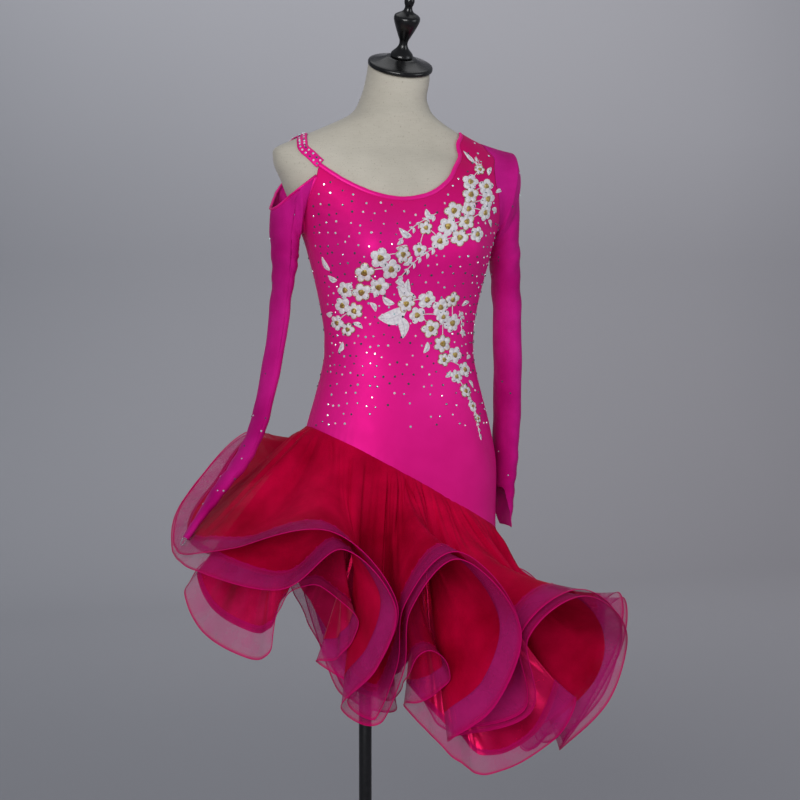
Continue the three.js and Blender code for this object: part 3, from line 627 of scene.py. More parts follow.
def stone_material():
    n = Material("rhinestone", (0.9, 0.95, 1.0), 0.08, Metallic=0.4, Coat_Weight=1.0,
                 Coat_Roughness=0.03, Specular_IOR_Level=0.9)
    tint = n.attribute("tint")
    pale = n.mix(n.spread(tint, 0.1, 0.5), linear(250, 252, 255), linear(176, 226, 228))
    n.set("Base Color", n.mix(n.spread(tint, 0.54, 0.56), pale, linear(52, 84, 96)))
    return n.made


stone = stone_material()


# --- the stand
def make_form():
    angle = np.linspace(0, 360, 144, endpoint=False)
    z = np.concatenate([np.linspace(FORM_BOTTOM + 5, 1000, 28)[:-1],
                        np.linspace(1000, 1400, 84)[:-1], np.linspace(1400, NECK_TOP, 26)])
    a, h = np.meshgrid(angle, z)
    out = np.full(a.shape, -1.2)
    # the cover's seams at front and back, pressed in a little
    for line in (90, 270):
        near = np.abs((a - line + 180) % 360 - 180) / 0.9
        out -= 0.5 * np.exp(-near ** 2)
    p = on_torso(a, h, out)
    bottom = [torso(angle, FORM_BOTTOM + 0 * angle) for _ in range(3)]
    for ring, (scale, drop) in zip(bottom, ((0.985, 1.5), (0.95, 0.2), (0.6, 0.0))):
        ring[:, :2] = FORM_AXIS + (ring[:, :2] - FORM_AXIS) * scale
        ring[:, 2] = FORM_BOTTOM + drop
    p = np.concatenate([np.stack(bottom[::-1]), p])
    rows, columns = p.shape[:2]
    faces = [*grid_faces(rows, columns, True), range(columns)[::-1],
             range((rows - 1) * columns, rows * columns)]
    dress(new_object("form_body", p.reshape(-1, 3), faces, linen), "form_linen", "dress_form")


def make_stand():
    centre = np.array([FORM_AXIS[0], FORM_AXIS[1] + through(4, np.array(NECK_TOP)), NECK_TOP])
    tilt = math.radians(NECK_TILT)
    normal = np.array([0, -math.sin(tilt), math.cos(tilt)])
    turn = np.array(Matrix.Rotation(tilt, 3, "X"))

    def placed(profile, sides, lift):
        v, f = lathe(profile, sides)
        return v @ turn.T + centre + normal * lift, f

    plate = [[0, 0], [46, 0], [49.5, 0.3], [51, 1.6], [51.2, 3], [51.2, 5.4], [50.4, 7],
             [48, 8.2], [44, 9.2], [36, 11.2], [30, 13.4], [26, 15.2], [24, 16.4],
             [22.5, 17.2], [0, 17.3]]
    dress(new_object("neck_cap", *placed(plate, 96, 1.3), black_gloss), "black_gloss",
          "neck_plate")
    turned = [[0, 0], [15, 0], [17.4, 1], [18, 3], [16.6, 6.5], [13, 10.5], [9.4, 14.6],
              [7, 19.5], [6.6, 23.5], [7.4, 28], [10.2, 34], [14, 42.5], [17.6, 51],
              [20, 58], [20.6, 62.5], [19.4, 66], [15.6, 68.6], [11.6, 70.8], [8.2, 73.5],
              [6.2, 77.5], [5.9, 81], [7.2, 84.6], [8, 88.5], [7.6, 92.5], [5.2, 97],
              [2.6, 98.8], [0, 99.2]]
    dress(new_object("neck_finial", *placed(rounded(turned, 3), 64, 18.4), black_gloss),
          "black_gloss", "finial")
    top = FORM_BOTTOM - 0.4
    low = BASE_THICK + 10.3
    pole = [[0, low], [9.8, low], [POLE_RADIUS, low + 0.6], [POLE_RADIUS, top - 0.6],
            [9.8, top], [0, top]]
    dress(new_object("pole", *lathe(pole, 64), black_metal), "black_metal", "stand_pole")
    r, t = BASE_RADIUS, BASE_THICK
    base = [[0, 0], [r - 1, 0], [r, 1], [r, t - 4], [r - 0.8, t - 2], [r - 2.5, t - 0.5],
            [r - 5, t], [26, t], [23, t + 0.8], [21.4, t + 3], [20.6, t + 7],
            [19.4, t + 9.4], [17.5, t + 10], [0, t + 10]]
    dress(new_object("base", *lathe(base, 128), black_metal), "black_metal", "stand_base")


# --- bodice
PANEL_SCALE = 2.4   # millimetres for one degree, for distances on a panel
# creases: from angle, height, to angle, height, width, depth (minus: a ridge)
CREASES = [
    [-150, 1262, -128, 1240, 9, 1.6], [-152, 1240, -130, 1222, 8, 1.4],
    [-156, 1222, -136, 1206, 8, 1.2], [-146, 1275, -132, 1262, 7, 1.0],
    [-40, 1262, -56, 1244, 8, 1.4], [-34, 1240, -52, 1226, 8, 1.2],
    [-62, 1362, -66, 1322, 7, 1.7], [-54, 1366, -58, 1324, 8, -1.2],
    [-48, 1352, -56, 1312, 8, 1.4], [-70, 1340, -74, 1312, 6, -1.0],
    [-112, 1160, -74, 1156, 12, 1.6], [-108, 1140, -84, 1128, 12, 1.0],
    [-170, 1080, -140, 1064, 12, 1.4], [-172, 1052, -146, 1040, 12, 1.4],
    [-168, 1026, -146, 1020, 11, 1.2], [-20, 1074, -44, 1060, 12, 1.4],
    [-18, 1046, -40, 1036, 12, 1.4], [-20, 1020, -38, 1014, 11, 1.0],
    [-160, 930, -110, 872, 14, 1.4], [-150, 960, -100, 900, 14, -1.0],
    [-120, 900, -60, 842, 14, 1.2], [-70, 940, -34, 840, 14, -1.2],
    [-40, 900, -24, 820, 12, 1.2], [150, 1240, 130, 1220, 9, 1.4],
    [30, 1240, 50, 1222, 9, 1.4], [170, 1060, 130, 1046, 12, 1.6],
    [172, 1030, 134, 1020, 12, 1.4], [10, 1060, 46, 1046, 12, 1.6],
    [12, 1030, 44, 1018, 12, 1.4], [90, 1050, 120, 1036, 12, 1.2],
    [60, 1040, 96, 1030, 12, 1.2], [70, 930, 120, 880, 14, 1.2],
]


def outline_distance(outline, x, y):
    """Signed distance to a closed outline, positive inside."""
    best = np.full(np.shape(x), np.inf)
    inside = np.zeros(np.shape(x), bool)
    for (ax, ay), (bx, by) in zip(outline, outline[1:] + outline[:1]):
        dx, dy = bx - ax, by - ay
        t = np.clip(((x - ax) * dx + (y - ay) * dy) / (dx * dx + dy * dy + 1e-9), 0, 1)
        best = np.minimum(best, np.hypot(ax + dx * t - x, ay + dy * t - y))
        if dy:
            inside ^= ((ay > y) != (by > y)) & (x < ax + (y - ay) / dy * dx)
    return np.where(inside, best, -best)


def fine(points, steps=8, closed=False):
    points = np.asarray(points, float)
    n = len(points) if closed else len(points) - 1
    u = np.linspace(0, n, n * steps + 1)
    return spline(points, u[:-1] if closed else u, 0 if closed else None)


def trimmed(p, value):
    """Cut a grid of points [row, column] where value is negative."""
    quads = grid_faces(*p.shape[:2], False)
    tri = np.concatenate([quads[:, [0, 1, 2]], quads[:, [0, 2, 3]]])
    f = value.ravel().copy()
    f[np.abs(f) < 0.02] = 0.02
    points = [p.reshape(-1, 3)]
    keep = (f[tri] > 0).sum(1)
    faces = tri[keep == 3].tolist()
    count, cuts = len(points[0]), {}

    def cut(i, j):
        nonlocal count
        key = (min(i, j), max(i, j))
        if key not in cuts:
            t = f[i] / (f[i] - f[j])
            points.append((points[0][i] * (1 - t) + points[0][j] * t)[None])
            cuts[key] = count
            count += 1
        return cuts[key]

    for face in tri[(keep > 0) & (keep < 3)]:
        kept = []
        for k in range(3):
            i, j = int(face[k]), int(face[(k + 1) % 3])
            if f[i] > 0:
                kept.append(i)
            if (f[i] > 0) != (f[j] > 0):
                kept.append(cut(i, j))
        faces.append(kept)
    points = np.concatenate(points)
    used = sorted({i for face in faces for i in face})
    index = {v: k for k, v in enumerate(used)}
    return points[used], [[index[i] for i in face] for face in faces]


def crease_depth(angle, z):
    depth = np.zeros(angle.shape)
    for a0, z0, a1, z1, wide, deep in CREASES:
        dx, dy = (a1 - a0) * PANEL_SCALE, z1 - z0
        x, y = (angle - a0) * PANEL_SCALE, z - z0
        t = np.clip((x * dx + y * dy) / (dx * dx + dy * dy), 0, 1)
        far = np.hypot(x - dx * t, y - dy * t)
        depth += deep * np.exp(-(far / wide) ** 2) * np.sin(np.pi * np.clip(t, 0.12, 0.88))
    return depth


def bodice_out(angle, z, seam):
    """How far the bodice's outside stands off the torso surface."""
    out = 1.5 - 0.75 * crease_depth(angle, z)
    above = z - seam
    pucker = np.sin(np.radians(angle) * 68) * np.exp(-above / 9) * 0.35
    return np.maximum(out + pucker, 0.35)


def make_panel(name, start, stop, outline, node):
    columns, rows = 156, 246
    angle = np.linspace(start, stop, columns)
    seam = np.full(columns, SEAM_Z)
    for _ in range(4):
        seam = SEAM_Z - SEAM_SLOPE * (torso(angle, seam)[:, 0] - FORM_AXIS[0])
    level = np.concatenate([np.linspace(0, 1, 68)[:-1], np.linspace(1, 2.02, rows - 67)])
    z = np.where(level[:, None] < 1, seam + (1000 - seam) * level[:, None],
                 1000 + (level[:, None] - 1) * 400)
    a = np.broadcast_to(angle, z.shape)
    value = outline_distance([(x * PANEL_SCALE, y) for x, y in outline], a * PANEL_SCALE, z)
    p = on_torso(a, z, bodice_out(a, z, seam))
    verts, faces = trimmed(p, value - 0.4)
    uv = np.stack([verts[:, 0], verts[:, 2]], -1) * MM
    obj = new_object(name, verts, faces, satin, uv)
    thicken(obj, 0.8)
    dress(obj, "satin_fuchsia", node)


def armhole_points(table, first, last, turn=0):
    dense = fine(table, 6, True)
    return [(a + turn, z) for a, z in dense[first * 6:last * 6 + 1]]


def make_bodice():
    front_neck = [tuple(p) for p in fine(FRONT_NECK, 8)]
    back_neck = [tuple(p) for p in fine(BACK_NECK, 8)]
    left_front = armhole_points(LEFT_ARMHOLE, 8, 15) + [(0, 1376)]
    left_back = armhole_points(LEFT_ARMHOLE, 0, 8)
    right_front = armhole_points(RIGHT_ARMHOLE, 8, 12, -360)
    right_back = armhole_points(RIGHT_ARMHOLE, 4, 8)
    front = ([(-200, 600), (-200, 1214)] + right_front + front_neck
             + [(20, 1394), (20, 1376)] + left_front[::-1] + [(20, 1205), (20, 600)])
    back = ([(-20, 600), (-20, 1205)] + left_back[::-1] + [(-20, 1376), (-20, 1394)]
            + back_neck + right_back + [(200, 1214), (200, 600)])
    make_panel("bodice_front_cloth", -180, 0, front, "bodice_front")
    make_panel("bodice_back_cloth", 0, 180, back, "bodice_back")
    # piping on the neck edges
    for name, path, node in (("neck_piping_front", FRONT_NECK, "neck_binding_front"),
                             ("neck_piping_back", BACK_NECK, "neck_binding_back")):
        line = fine(path, 14)
        lift, normal = on_torso(*line.T, 1.6), torso_normal(*line.T)
        ripple = 1 + 0.03 * np.sin(np.arange(len(line)) * 0.9)
        piping = tube(lift, 3.6 * ripple, 14, False, 0.55, normal)
        dress(new_object(name, *piping, binding_satin), "binding", node)


def make_strap():
    line = fine(STRAP, 12)
    centre, normal = on_torso(*line.T, 0.4), torso_normal(*line.T)
    along = unit(np.gradient(centre, axis=0))
    side = np.cross(normal, along)
    across = np.linspace(-1, 1, 17)
    crown = 1.6 * (1 - across ** 4) - 0.35 * np.exp(-((np.abs(across) - 0.78) / 0.07) ** 2)
    gather = 0.25 * np.sin(np.arange(len(line)) * 1.7)[:, None] * (1 - across ** 2)
    p = (centre[:, None] + side[:, None] * across[None, :, None] * 8.2
         + normal[:, None] * (crown[None] + gather)[..., None])
    obj = grid_object("strap_cloth", p.transpose(1, 0, 2), False, binding_satin)
    thicken(obj, 0.9)
    dress(obj, "binding", "shoulder_strap")
    spots = []
    for k in range(1, 25):
        c = k * (len(line) - 1) // 25
        for s in (-0.42, 0.42):
            spots.append((centre[c] + side[c] * s * 8.2 + normal[c] * 1.75, normal[c], 1.75))
    return spots


# --- sleeves
def sleeve_surface(table, armhole, side, angle, s):
    """Points of a sleeve; s counts rings from the armhole down, angle in degrees."""
    rows = spline(table, np.clip(s - 1, 0, len(table) - 1))
    x, y, z, tall, slope, deep = np.moveaxis(rows, -1, 0)
    a = np.radians(angle)
    up = tall * np.cos(a)
    tube_point = np.stack([
        FORM_AXIS[0] + side * (x + up * np.cos(np.radians(slope))),
        FORM_AXIS[1] + y + deep * np.sin(a),
        z + up * np.sin(np.radians(slope))], -1)
    u = (angle / 360 * len(armhole)) % len(armhole)
    hole = spline(armhole, u, 0)
    edge = on_torso(hole[..., 0], hole[..., 1], 1.5)
    t = np.clip(s, 0, 1)[..., None]
    return edge * (1 - t) + tube_point * t


def make_sleeve(name, table, armhole, side, keep, node):
    columns, samples, rows = 96, 1200, 184
    angle = np.arange(columns) * 360 / columns
    turn = angle if side > 0 else (360 - angle) % 360
    s = np.linspace(0, len(table), samples)
    a, t = np.meshgrid(turn, s)
    p = sleeve_surface(table, armhole, side, a, t)
    cut_off = keep(p) <= 0
    middle = samples // 2
    upper, lower = cut_off[:middle], cut_off[middle:]
    first = np.where(upper.any(0), middle - np.argmax(upper[::-1], 0), 0)
    last = np.where(lower.any(0), middle + np.argmax(lower, 0) - 1, samples - 1)
    v = np.linspace(0, 1, rows)[::-1, None]
    t = s[first][None] + (s[last] - s[first])[None] * v
    a = np.broadcast_to(turn, t.shape)
    p = sleeve_surface(table, armhole, side, a, t)
    ring, around = t, np.radians(a)
    folds = (0.9 * np.sin(ring * 9.3 + 1.3 * np.sin(around + side) + 2 * np.cos(around))
             * np.exp(-((ring - 5.2) / 1.1) ** 2)
             + 0.7 * np.sin(ring * 11.7 + 1.6 * np.sin(around + 2.1) * 1.4)
             * np.exp(-((ring - 10.5) / 1.6) ** 2)
             + 0.5 * np.sin(ring * 5.1 + 2.0 * np.cos(around + 0.7)))
    long_folds = 1.1 * np.sin(around * 3 + ring * 0.35 + side) * smooth((ring - 3.5) / 2)
    p = p + grid_normals(p, True) * (folds + long_folds * 0.8)[..., None]
    obj = grid_object(name, p, True, mesh_knit)
    thicken(obj, 0.4)
    dress(obj, "sleeve_mesh", node)
    return p


def left_keep(p):
    x, z = p[..., 0], p[..., 2]
    return z - LEFT_CUFF["point"] - LEFT_CUFF["rise"] * np.clip(
        (LEFT_CUFF["start"] + FORM_AXIS[0] - x) / LEFT_CUFF["over"], 0, 1)


def right_keep(p):
    return COLD_SHOULDER["low"] + COLD_SHOULDER["slope"] * (
        p[..., 0] - FORM_AXIS[0] - COLD_SHOULDER["start"]) - p[..., 2]


def make_sleeves():
    lp = make_sleeve("sleeve_left_mesh", LEFT_SLEEVE, LEFT_ARMHOLE, 1, left_keep,
                     "sleeve_left")
    rp = make_sleeve("sleeve_right_mesh", RIGHT_SLEEVE, RIGHT_ARMHOLE, -1, right_keep,
                     "sleeve_right")
    # piping on the open edge of the cold shoulder, and narrow hems at both wrists
    for name, edge, radius, mat in (("cold_shoulder_piping", rp[-1], 2.4, binding_satin),
                                    ("wrist_hem_left", lp[0], 0.8, mesh_knit),
                                    ("wrist_hem_right", rp[0], 0.7, mesh_knit)):
        dress(new_object(name, *tube(edge, radius, 10, True, 0.8), mat), "binding")
    tip = rp[0].mean(0)
    a = np.linspace(0, 2 * np.pi, 28, endpoint=False)
    way = unit(np.array([-0.55, -0.05, -0.83]))
    across = unit(np.cross(way, [0, 1, 0]))
    loop = (tip + way * 6.5 + np.outer(np.cos(a) * 6.5, way) + np.outer(np.sin(a) * 3, across))
    dress(new_object("finger_loop", *tube(loop, 0.75, 8, True), silver), "lace")
    return lp, rp


# --- skirt
def skirt_points(table, u, v):
    """Points of a layer from the seam (v = 0) to the hem, and their normals."""
    rows = np.array([p + [POINT_CREST[k]] for flute in table for k, p in enumerate(flute)],
                    float)
    roots = np.array(FLUTE_ROOTS, float)
    data = spline(rows, u, 360)
    direction, out, drop, crest = np.moveaxis(data, -1, 0)
    crest = np.clip(crest, 0, 1)
    lap = (u - len(POINT_CREST) + 2) / len(POINT_CREST)
    k = np.floor(lap).astype(int)
    count = len(table)

    def valley(i):
        return roots[i % count] + 360 * np.floor_divide(i, count)

    root = valley(k) + (valley(k + 1) - valley(k)) * (lap - k)
    direction, out, drop, crest, root = (x[None] for x in (direction, out, drop, crest, root))
    v = v[:, None]
    angle = FLUTE_START + root + (direction - root) * v ** 1.15
    reach, seam = seam_in_direction(angle)
    steep = np.clip(drop / 80, 0, 1)
    away = (1 - crest) * v + crest * v ** (1 + 0.7 * steep)
    down = (1 - crest) * v + crest * (steep * v * (2 - v) + (1 - steep) * v * v)
    radius = reach + 0.3 + out * away
    way = np.radians(angle)
    p = np.stack([FORM_AXIS[0] + radius * np.cos(way), FORM_AXIS[1] + radius * np.sin(way),
                  seam + SEAM_LAP * (1 - v) - drop * down], -1)
    return p, grid_normals(p[::-1], True)[::-1]


def gathers(u, v, count, seed):
    """Fine uneven gathers, falling out from the seam and gone at the braid."""
    rng = np.random.default_rng(seed)
    w = 2 * np.pi * u / count
    wave = np.zeros((len(v), len(u)))
    for n, size, top in ((149, 0.5, 0.45), (97, 0.9, 0.8), (61, 1.6, 0.95), (37, 2.1, 1.0)):
        phase = rng.uniform(0, 6.28) + 1.4 * np.sin(w * rng.integers(3, 8) + rng.uniform(0, 6))
        fade = np.clip(1 - v / top, 0, 1) ** 0.8 * smooth(v / 0.12)
        wave += size * fade[:, None] * np.sin(n * w + phase)[None]
    return wave


def make_layer(name, p, mat, slot):
    """p is a grid from the seam (row 0) to the hem; name is the node's too."""
    p = p[::-1]
    braid_rows = len(p) - CLOTH_ROWS
    obj = grid_object(f"{name}_cloth", p[braid_rows - 2:], True, mat)
    dress(obj, slot, name)
    lower = p[:braid_rows + 1]
    n = grid_normals(lower, True)
    across = np.linspace(1, 0, len(lower))[:, None]
    band = grid_object(f"{name}_braid_band", lower + n * 0.5, True, braid,
                       {"across": across})
    dress(band, "braid", f"{name}_braid")
    cord = tube(lower[0] + n[0] * 0.5, 0.7, 6, True)
    edge = new_object(f"{name}_hem_cord", *cord, hem_thread)
    stitches = []
    line = lower[-1] + n[-1] * 1.1
    for k in range(0, len(line), 3):
        a, b = line[k], line[(k + 1) % len(line)]
        stitches.append(tube(np.array([a, a + (b - a) * 0.75]), 0.35, 4))
    seam = new_object(f"{name}_stitches", *joined(stitches), hem_thread)
    for piece in (edge, seam):
        dress(piece, "braid")


def make_skirt():
    count = len(OUTER_TULLE) * len(POINT_CREST)
    columns = count * 16
    u = np.arange(columns) * count / columns
    v = np.concatenate([np.linspace(0, BRAID_SPLIT, CLOTH_ROWS + 1)[:-1],
                        np.linspace(BRAID_SPLIT, 1, 12)])
    base, n = skirt_points(OUTER_TULLE, u, v)
    gather = gathers(u, v, count, 3)[..., None]
    far = v[:, None, None]
    outer = base + n * (1.6 + 2.4 * smooth(far / 0.08) - 1.6 * far + gather)
    # the second layer hangs lower at the front left, its hem on show there
    low = [[SECOND_OWN.get((i, k), p) for k, p in enumerate(flute)]
           for i, flute in enumerate(OUTER_TULLE)]
    base, n = skirt_points(low, u, v)
    second = base + n * (0.4 - 6.9 * far + 0.7 * gather)
    second = second + unit(base[-1] - base[-2])[None] * 9 * smooth((far - 0.7) / 0.3)
    base, n = skirt_points(SATIN, u, v)
    third = base + n * (1.5 * gathers(u, v * 0.6, count, 7)[..., None] - 0.9)
    for name, p, mat, slot, cut, braid_cut in (
            ("skirt_outer", outer, tulle, "tulle", TULLE_CUT, TULLE_BRAID),
            ("skirt_second", second, tulle, "tulle", TULLE_CUT, TULLE_BRAID),
            ("skirt_satin", third, red_satin, "satin_red", SATIN_CUT, SATIN_BRAID)):
        make_layer(name, p, mat, slot)


# --- flowers
def surface_patch(angle, z, x, y, height):
    """Points at offsets x, y (mm) from a place on the torso, raised by height."""
    step = np.linalg.norm(torso(angle + 1.0, z) - torso(angle - 1.0, z)) / 2
    return on_torso(angle + x / step, z + y, height)


def round_patch(angle, z, radius, way, height):
    return surface_patch(angle, z, radius * np.cos(way), radius * np.sin(way), height)


def flower(angle, z, radius, turn, petals=5, level=0.0):
    """White lacy petals, a cord round them and a gold centre."""
    a = np.linspace(0, 2 * np.pi, 70, endpoint=False)
    t = np.linspace(0.0, 1, 8)
    b = a - turn
    b = b + 0.10 * np.sin(b + 1.3 * turn)
    wave = np.abs(np.cos(petals * b / 2)) ** 0.7
    edge = radius * (0.64 + 0.36 * wave + 0.025 * np.cos(petals * 5 * b)
                     + 0.05 * np.sin(2 * b + 2.1 * turn))
    vein = 0.35 * np.cos(petals * 5 * b)
    height = level + 1.9 + 1.5 * np.sin(np.pi * t[:, None] * 0.85) * (0.3 + 0.7 * wave) \
        + vein * t[:, None] * (1.1 - t[:, None])
    height[-1] = level + 1.75
    p = round_patch(angle, z, t[:, None] * edge, a, height)
    head = p.reshape(-1, 3), grid_faces(len(t), len(a), True)
    cord = tube(round_patch(angle, z, edge * 0.97, a, level + 2.4), 0.5, 5, True)
    b = np.linspace(0, 2 * np.pi, 12, endpoint=False)
    core = []
    for r, h in ((0.33, 2.6), (0.31, 3.7), (0.2, 4.3), (0.02, 4.5)):
        wide = r * radius * (1 + 0.12 * np.sin(3 * b + turn))
        core.append(round_patch(angle, z, wide, b, level + h))
    core = np.concatenate(core), grid_faces(4, 12, True)
    rays = []
    for k in range(petals):
        w = turn + 2 * np.pi * k / petals
        s = np.linspace(0.28, 0.62, 5)
        line = round_patch(angle, z, s * radius, w, level + 3.65 - 0.9 * (s - 0.3))
        rays.append(tube(line, 0.32, 4))
    return head, cord, core, rays


def leaf(angle, z, length, turn):
    t = np.linspace(0, 1, 16)
    w = np.linspace(-1, 1, 7)
    half = length * 0.24 * np.sin(np.pi * t) ** 0.8 * (1 - 0.25 * t) + 0.15
    bend = 0.14 * length * np.sin(np.pi * t)
    x = np.outer(np.ones(7), t * length)
    y = w[:, None] * half[None] + bend[None]
    height = 1.9 + 0.9 * (1 - np.abs(w))[:, None] * np.sin(np.pi * t)[None] + 0 * x
    r = math.radians(turn)
    c, s = math.cos(r), math.sin(r)
    p = surface_patch(angle, z, x * c - y * s, x * s + y * c, height)
    rim = np.concatenate([p[0], p[-1][::-1]])
    return ((p.reshape(-1, 3), grid_faces(7, 16, False)), tube(rim, 0.36, 5, True),
            tube(p[3], 0.3, 4))


def sprig(start, stop, buds, size):
    """Small buds in pairs along a curved stem, from angle, height to angle, height."""
    (a0, z0), (a1, z1) = start, stop
    t = np.linspace(0, 1, 4 * buds)
    bow = 4 * np.sin(np.pi * t)
    a, z = a0 + (a1 - a0) * t + bow / PANEL_SCALE * 0.6, z0 + (z1 - z0) * t + bow
    stem = tube(on_torso(a, z, 2.0), 0.7, 5)
    way = math.degrees(math.atan2(z1 - z0, (a1 - a0) * PANEL_SCALE))
    leaves = []
    for k in range(buds):
        i = 4 * k + 2
        for side in (-1, 1):
            leaves.append(leaf(a[i], z[i], size * (1 - 0.25 * k / buds) * (1 + 0.15 * side),
                               way + side * (38 + 9 * math.sin(k * 2.3))))
    leaves.append(leaf(a[-1], z[-1], size * 1.1, way))
    return stem, leaves


def make_sprays():
    spots = []
    for node, rows in FLOWERS.items():
        white, silvery, golden = [], [], []
        for k, (a, z, r) in enumerate(rows):
            petals = 5 if k % 4 else 6
            r = r * 1.26
            head, cord, core, rays = flower(a, z, r, k * 1.37, petals, 0.35 * (k % 2))
            white.append(head)
            (golden if k % 5 in (0, 3) else white).append(cord)
            golden.append(core)
            white.extend(rays)
            for turn in (0.6 + k, 2.9 + 1.7 * k, 4.4 + k):
                place = round_patch(a, z, 0.78 * r, turn, 3.2)
                spots.append((place, torso_normal(a, z), 1.0, 0.9))
        blades = [leaf(*row) for row in LEAVES[node]]
        for start, stop, buds, size in SPRIGS[node]:
            stem, more = sprig(start, stop, buds, size)
            white.append(stem)
            blades.extend(more)
        for blade, rim, vein in blades:
            white.extend([blade, rim])
            silvery.append(vein)
        for k in range(1, len(rows)):
            a0, z0, _ = rows[k - 1]
            a1, z1, _ = rows[k]
            t = np.linspace(0, 1, 12)
            line = on_torso(a0 + (a1 - a0) * t, z0 + (z1 - z0) * t
                            + 3 * np.sin(np.pi * t), 2.0)
            white.append(tube(line, 0.8, 5))
        dress(new_object(f"{node}_petals", *joined(white), lace), "lace", node)
        for suffix, parts, mat in (("cords", silvery, silver), ("centres", golden, gold)):
            dress(new_object(f"{node}_{suffix}", *joined(parts), mat), "lace")
    return spots


# --- stones
def stones(name, spots):
    """Faceted flat-backed stones at (place, normal, radius)."""
    sides = 8
    a = np.linspace(0, 2 * np.pi, sides, endpoint=False)
    faces = [*grid_faces(3, sides, True), range(2 * sides, 3 * sides), range(sides)[::-1]]
    parts, tints = [], []
    for place, normal, radius, *tint in spots:
        side = unit(np.cross(normal, [0.3, 0.2, 1.0]))
        up = np.cross(normal, side)
        spin = RANDOM.uniform(0, 0.8)
        rings = []
        for turn, r, h in ((0, 1.0, 0.0), (0, 1.0, 0.18), (np.pi / sides, 0.55, 0.62)):
            w = (a + spin + turn)[:, None]
            rings.append(place + radius * (r * (np.cos(w) * side + np.sin(w) * up)
                                           + h * normal))
        parts.append((np.concatenate(rings), faces))
        tints.extend([tint[0] if tint else RANDOM.uniform()] * (sides * 3))
    dress(new_object(name, *joined(parts), stone, None, {"tint": tints}, True), "lace")


def make_stones(extra, left, right):
    flowers = np.array([row for rows in FLOWERS.values() for row in rows])
    spots = []

    def moved(points, angle, height=0):
        return [(a + angle, z + height) for a, z in points]

    front = [(-176, 905), (-172, 1214), *moved(RIGHT_ARMHOLE[9:13], 2 - 360),
             *moved(FRONT_NECK, 0, -8), (-30, 1380), *moved(LEFT_ARMHOLE[:7:-1], -3),
             (-4, 1210), (-4, 905)]
    back = [(4, 960), (4, 1210), *moved(LEFT_ARMHOLE[8::-1], 3), (20, 1392),
            *moved(BACK_NECK, 0, -8), *moved(RIGHT_ARMHOLE[4:9], -3), (176, 1210), (176, 960)]
    for outline, low, high, step in ((front, -176, -4, 17.5), (back, 4, 176, 21.0)):
        outline = [(a * PANEL_SCALE, z) for a, z in outline]
        z, row = 925.0, 0
        while z < 1390:
            a = low + (row % 2) * step / 2 / PANEL_SCALE
            while a < high:
                x = a + RANDOM.uniform(-1.6, 1.6)
                y = z + RANDOM.uniform(-4, 4)
                sparse = RANDOM.uniform() < np.clip((1060 - y) / 260, 0, 0.6)
                inside = outline_distance(outline, x * PANEL_SCALE, y) > 4
                near = np.hypot((flowers[:, 0] - x) * PANEL_SCALE, flowers[:, 1] - y)
                if inside and not sparse and (near > flowers[:, 2] + 4).all():
                    spots.append((on_torso(x, y, 1.75), torso_normal(x, y),
                                  RANDOM.choice([1.5, 1.7, 1.9])))
                a += step / PANEL_SCALE
            z += step * 0.88
            row += 1
    arm = []
    for p in (left, right):
        n = grid_normals(p, True)
        for _ in range(26):
            r = int(RANDOM.uniform(0.04, 0.96) * len(p))
            c = int(RANDOM.uniform(0, p.shape[1]))
            arm.append((p[r, c] + n[r, c] * 0.15, n[r, c], RANDOM.choice([1.2, 1.5])))
    stones("stones_bodice", spots + extra)
    stones("stones_sleeves", arm)


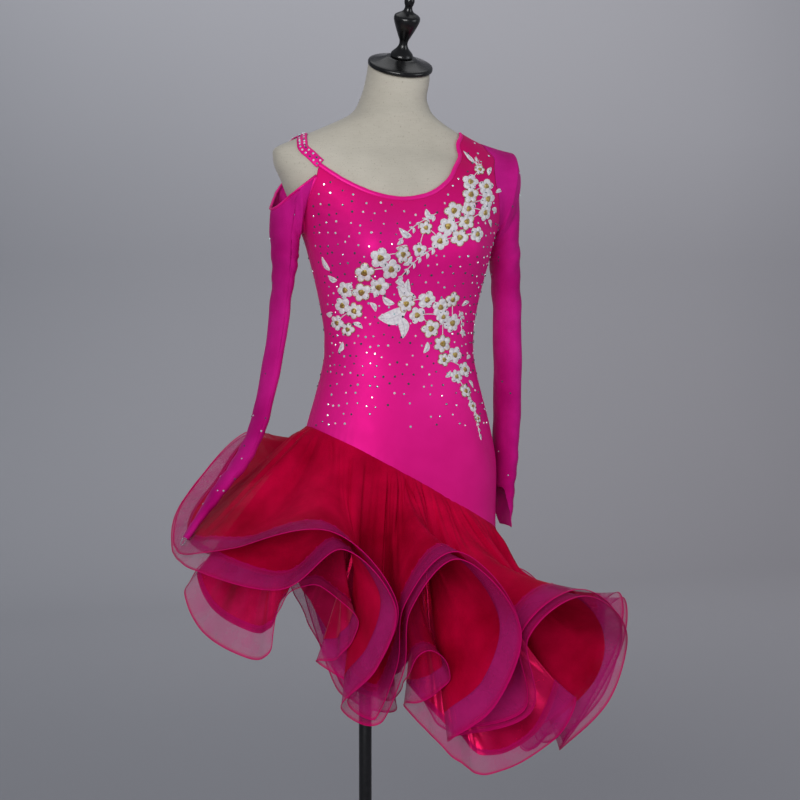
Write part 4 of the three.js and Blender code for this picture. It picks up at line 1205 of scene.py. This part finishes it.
# --- set
def make_set():
    n = Material("backdrop", linear(172, 172, 180), 0.9)
    # painted shade: the backdrop is darker at the left and, at the right, darker towards the floor,
    # standing in for the fall-off of the lamps' light across the sweep
    right = n.mix(n.spread(n.part(2), -0.4, 1.76), linear(154, 151, 156),
                  linear(188, 187, 192))
    soft = n.spread(n.noise(n.coords(), 0.6, 2), 0.3, 0.7, -0.04, 0.04)
    across = n.math("ADD", n.spread(n.part(0), -0.04, 3.24), soft, True)
    n.set("Base Color", n.mix(across, linear(149, 150, 156), right))
    half, back, front, top, bend = 6000, 4600, -4800, 5600, 1200
    a = np.linspace(0, np.pi / 2, 24)
    line = [(front, 0.0)] + [(back - bend + bend * math.sin(t), bend - bend * math.cos(t))
                             for t in a] + [(back, top)]
    verts = [(x, y, z) for x in (-half, half) for y, z in line]
    count = len(line)
    faces = [(k, k + count, k + count + 1, k + 1) for k in range(count - 1)]
    sweep = new_object("studio_sweep", verts, faces, n.made)

    world = bpy.data.worlds.new("studio")
    bpy.context.scene.world = world
    world.use_nodes = True
    colour, strength = world.node_tree.nodes["Background"].inputs[:2]
    colour.default_value, strength.default_value = (0.86, 0.9, 1.0, 1), 0.27
    # softboxes: name, place, target, size, power, colour
    for name, place, target, size, power, colour in (
            ("key", (-1.8, -3.0, 1.6), (0, -0.1, 1.0), (1.9, 1.5), 74, (1, 1, 1)),
            ("fill", (2.6, -2.4, 1.6), (0, -0.1, 1.0), (1.6, 2.2), 24, (0.93, 0.96, 1)),
            ("top", (0.2, 0.4, 3.4), (0, 0, 1.0), (2.2, 1.6), 8, (1, 1, 1)),
            ("wall", (0.9, 2.6, 3.4), (1.5, 4.6, 0.9), (4.6, 0.8), 62, (1, 1, 1))):
        light = bpy.data.lights.new(name, "AREA")
        light.shape = "RECTANGLE"
        light.size, light.size_y = size
        light.energy, light.color = power, colour
        aim(name, light, np.array(place), np.array(target))


def aim(name, data, place, target):
    """Put a light or camera at place, looking at target."""
    obj = bpy.data.objects.new(name, data)
    bpy.context.collection.objects.link(obj)
    back = unit(place - target)
    right = unit(np.cross([0, 0, 1.0], back))
    columns = np.stack([right, np.cross(back, right), back, place], 1)
    obj.matrix_world = Matrix([*columns.tolist(), [0, 0, 0, 1]])
    return obj


CAMERA = dict(azimuth=-20.0, elevation=4.0, distance=3.0, lens=85.0,
              target=(0.0299, -0.085, 0.957))


def make_camera():
    data = bpy.data.cameras.new("camera")
    data.lens = CAMERA["lens"]
    data.sensor_width = 36.0
    data.clip_end = 100
    az, el = math.radians(CAMERA["azimuth"]), math.radians(CAMERA["elevation"])
    target = np.array(CAMERA["target"])
    away = np.array([math.sin(az) * math.cos(el), -math.cos(az) * math.cos(el), math.sin(el)])
    bpy.context.scene.camera = aim("camera", data, target + away * CAMERA["distance"], target)
    bpy.context.scene.view_settings.view_transform = "Standard"


make_camera()
make_form()
make_stand()
make_bodice()
strap_spots = make_strap()
left_points, right_points = make_sleeves()
make_skirt()
flower_spots = make_sprays()
make_stones(strap_spots + flower_spots, left_points, right_points)
make_set()
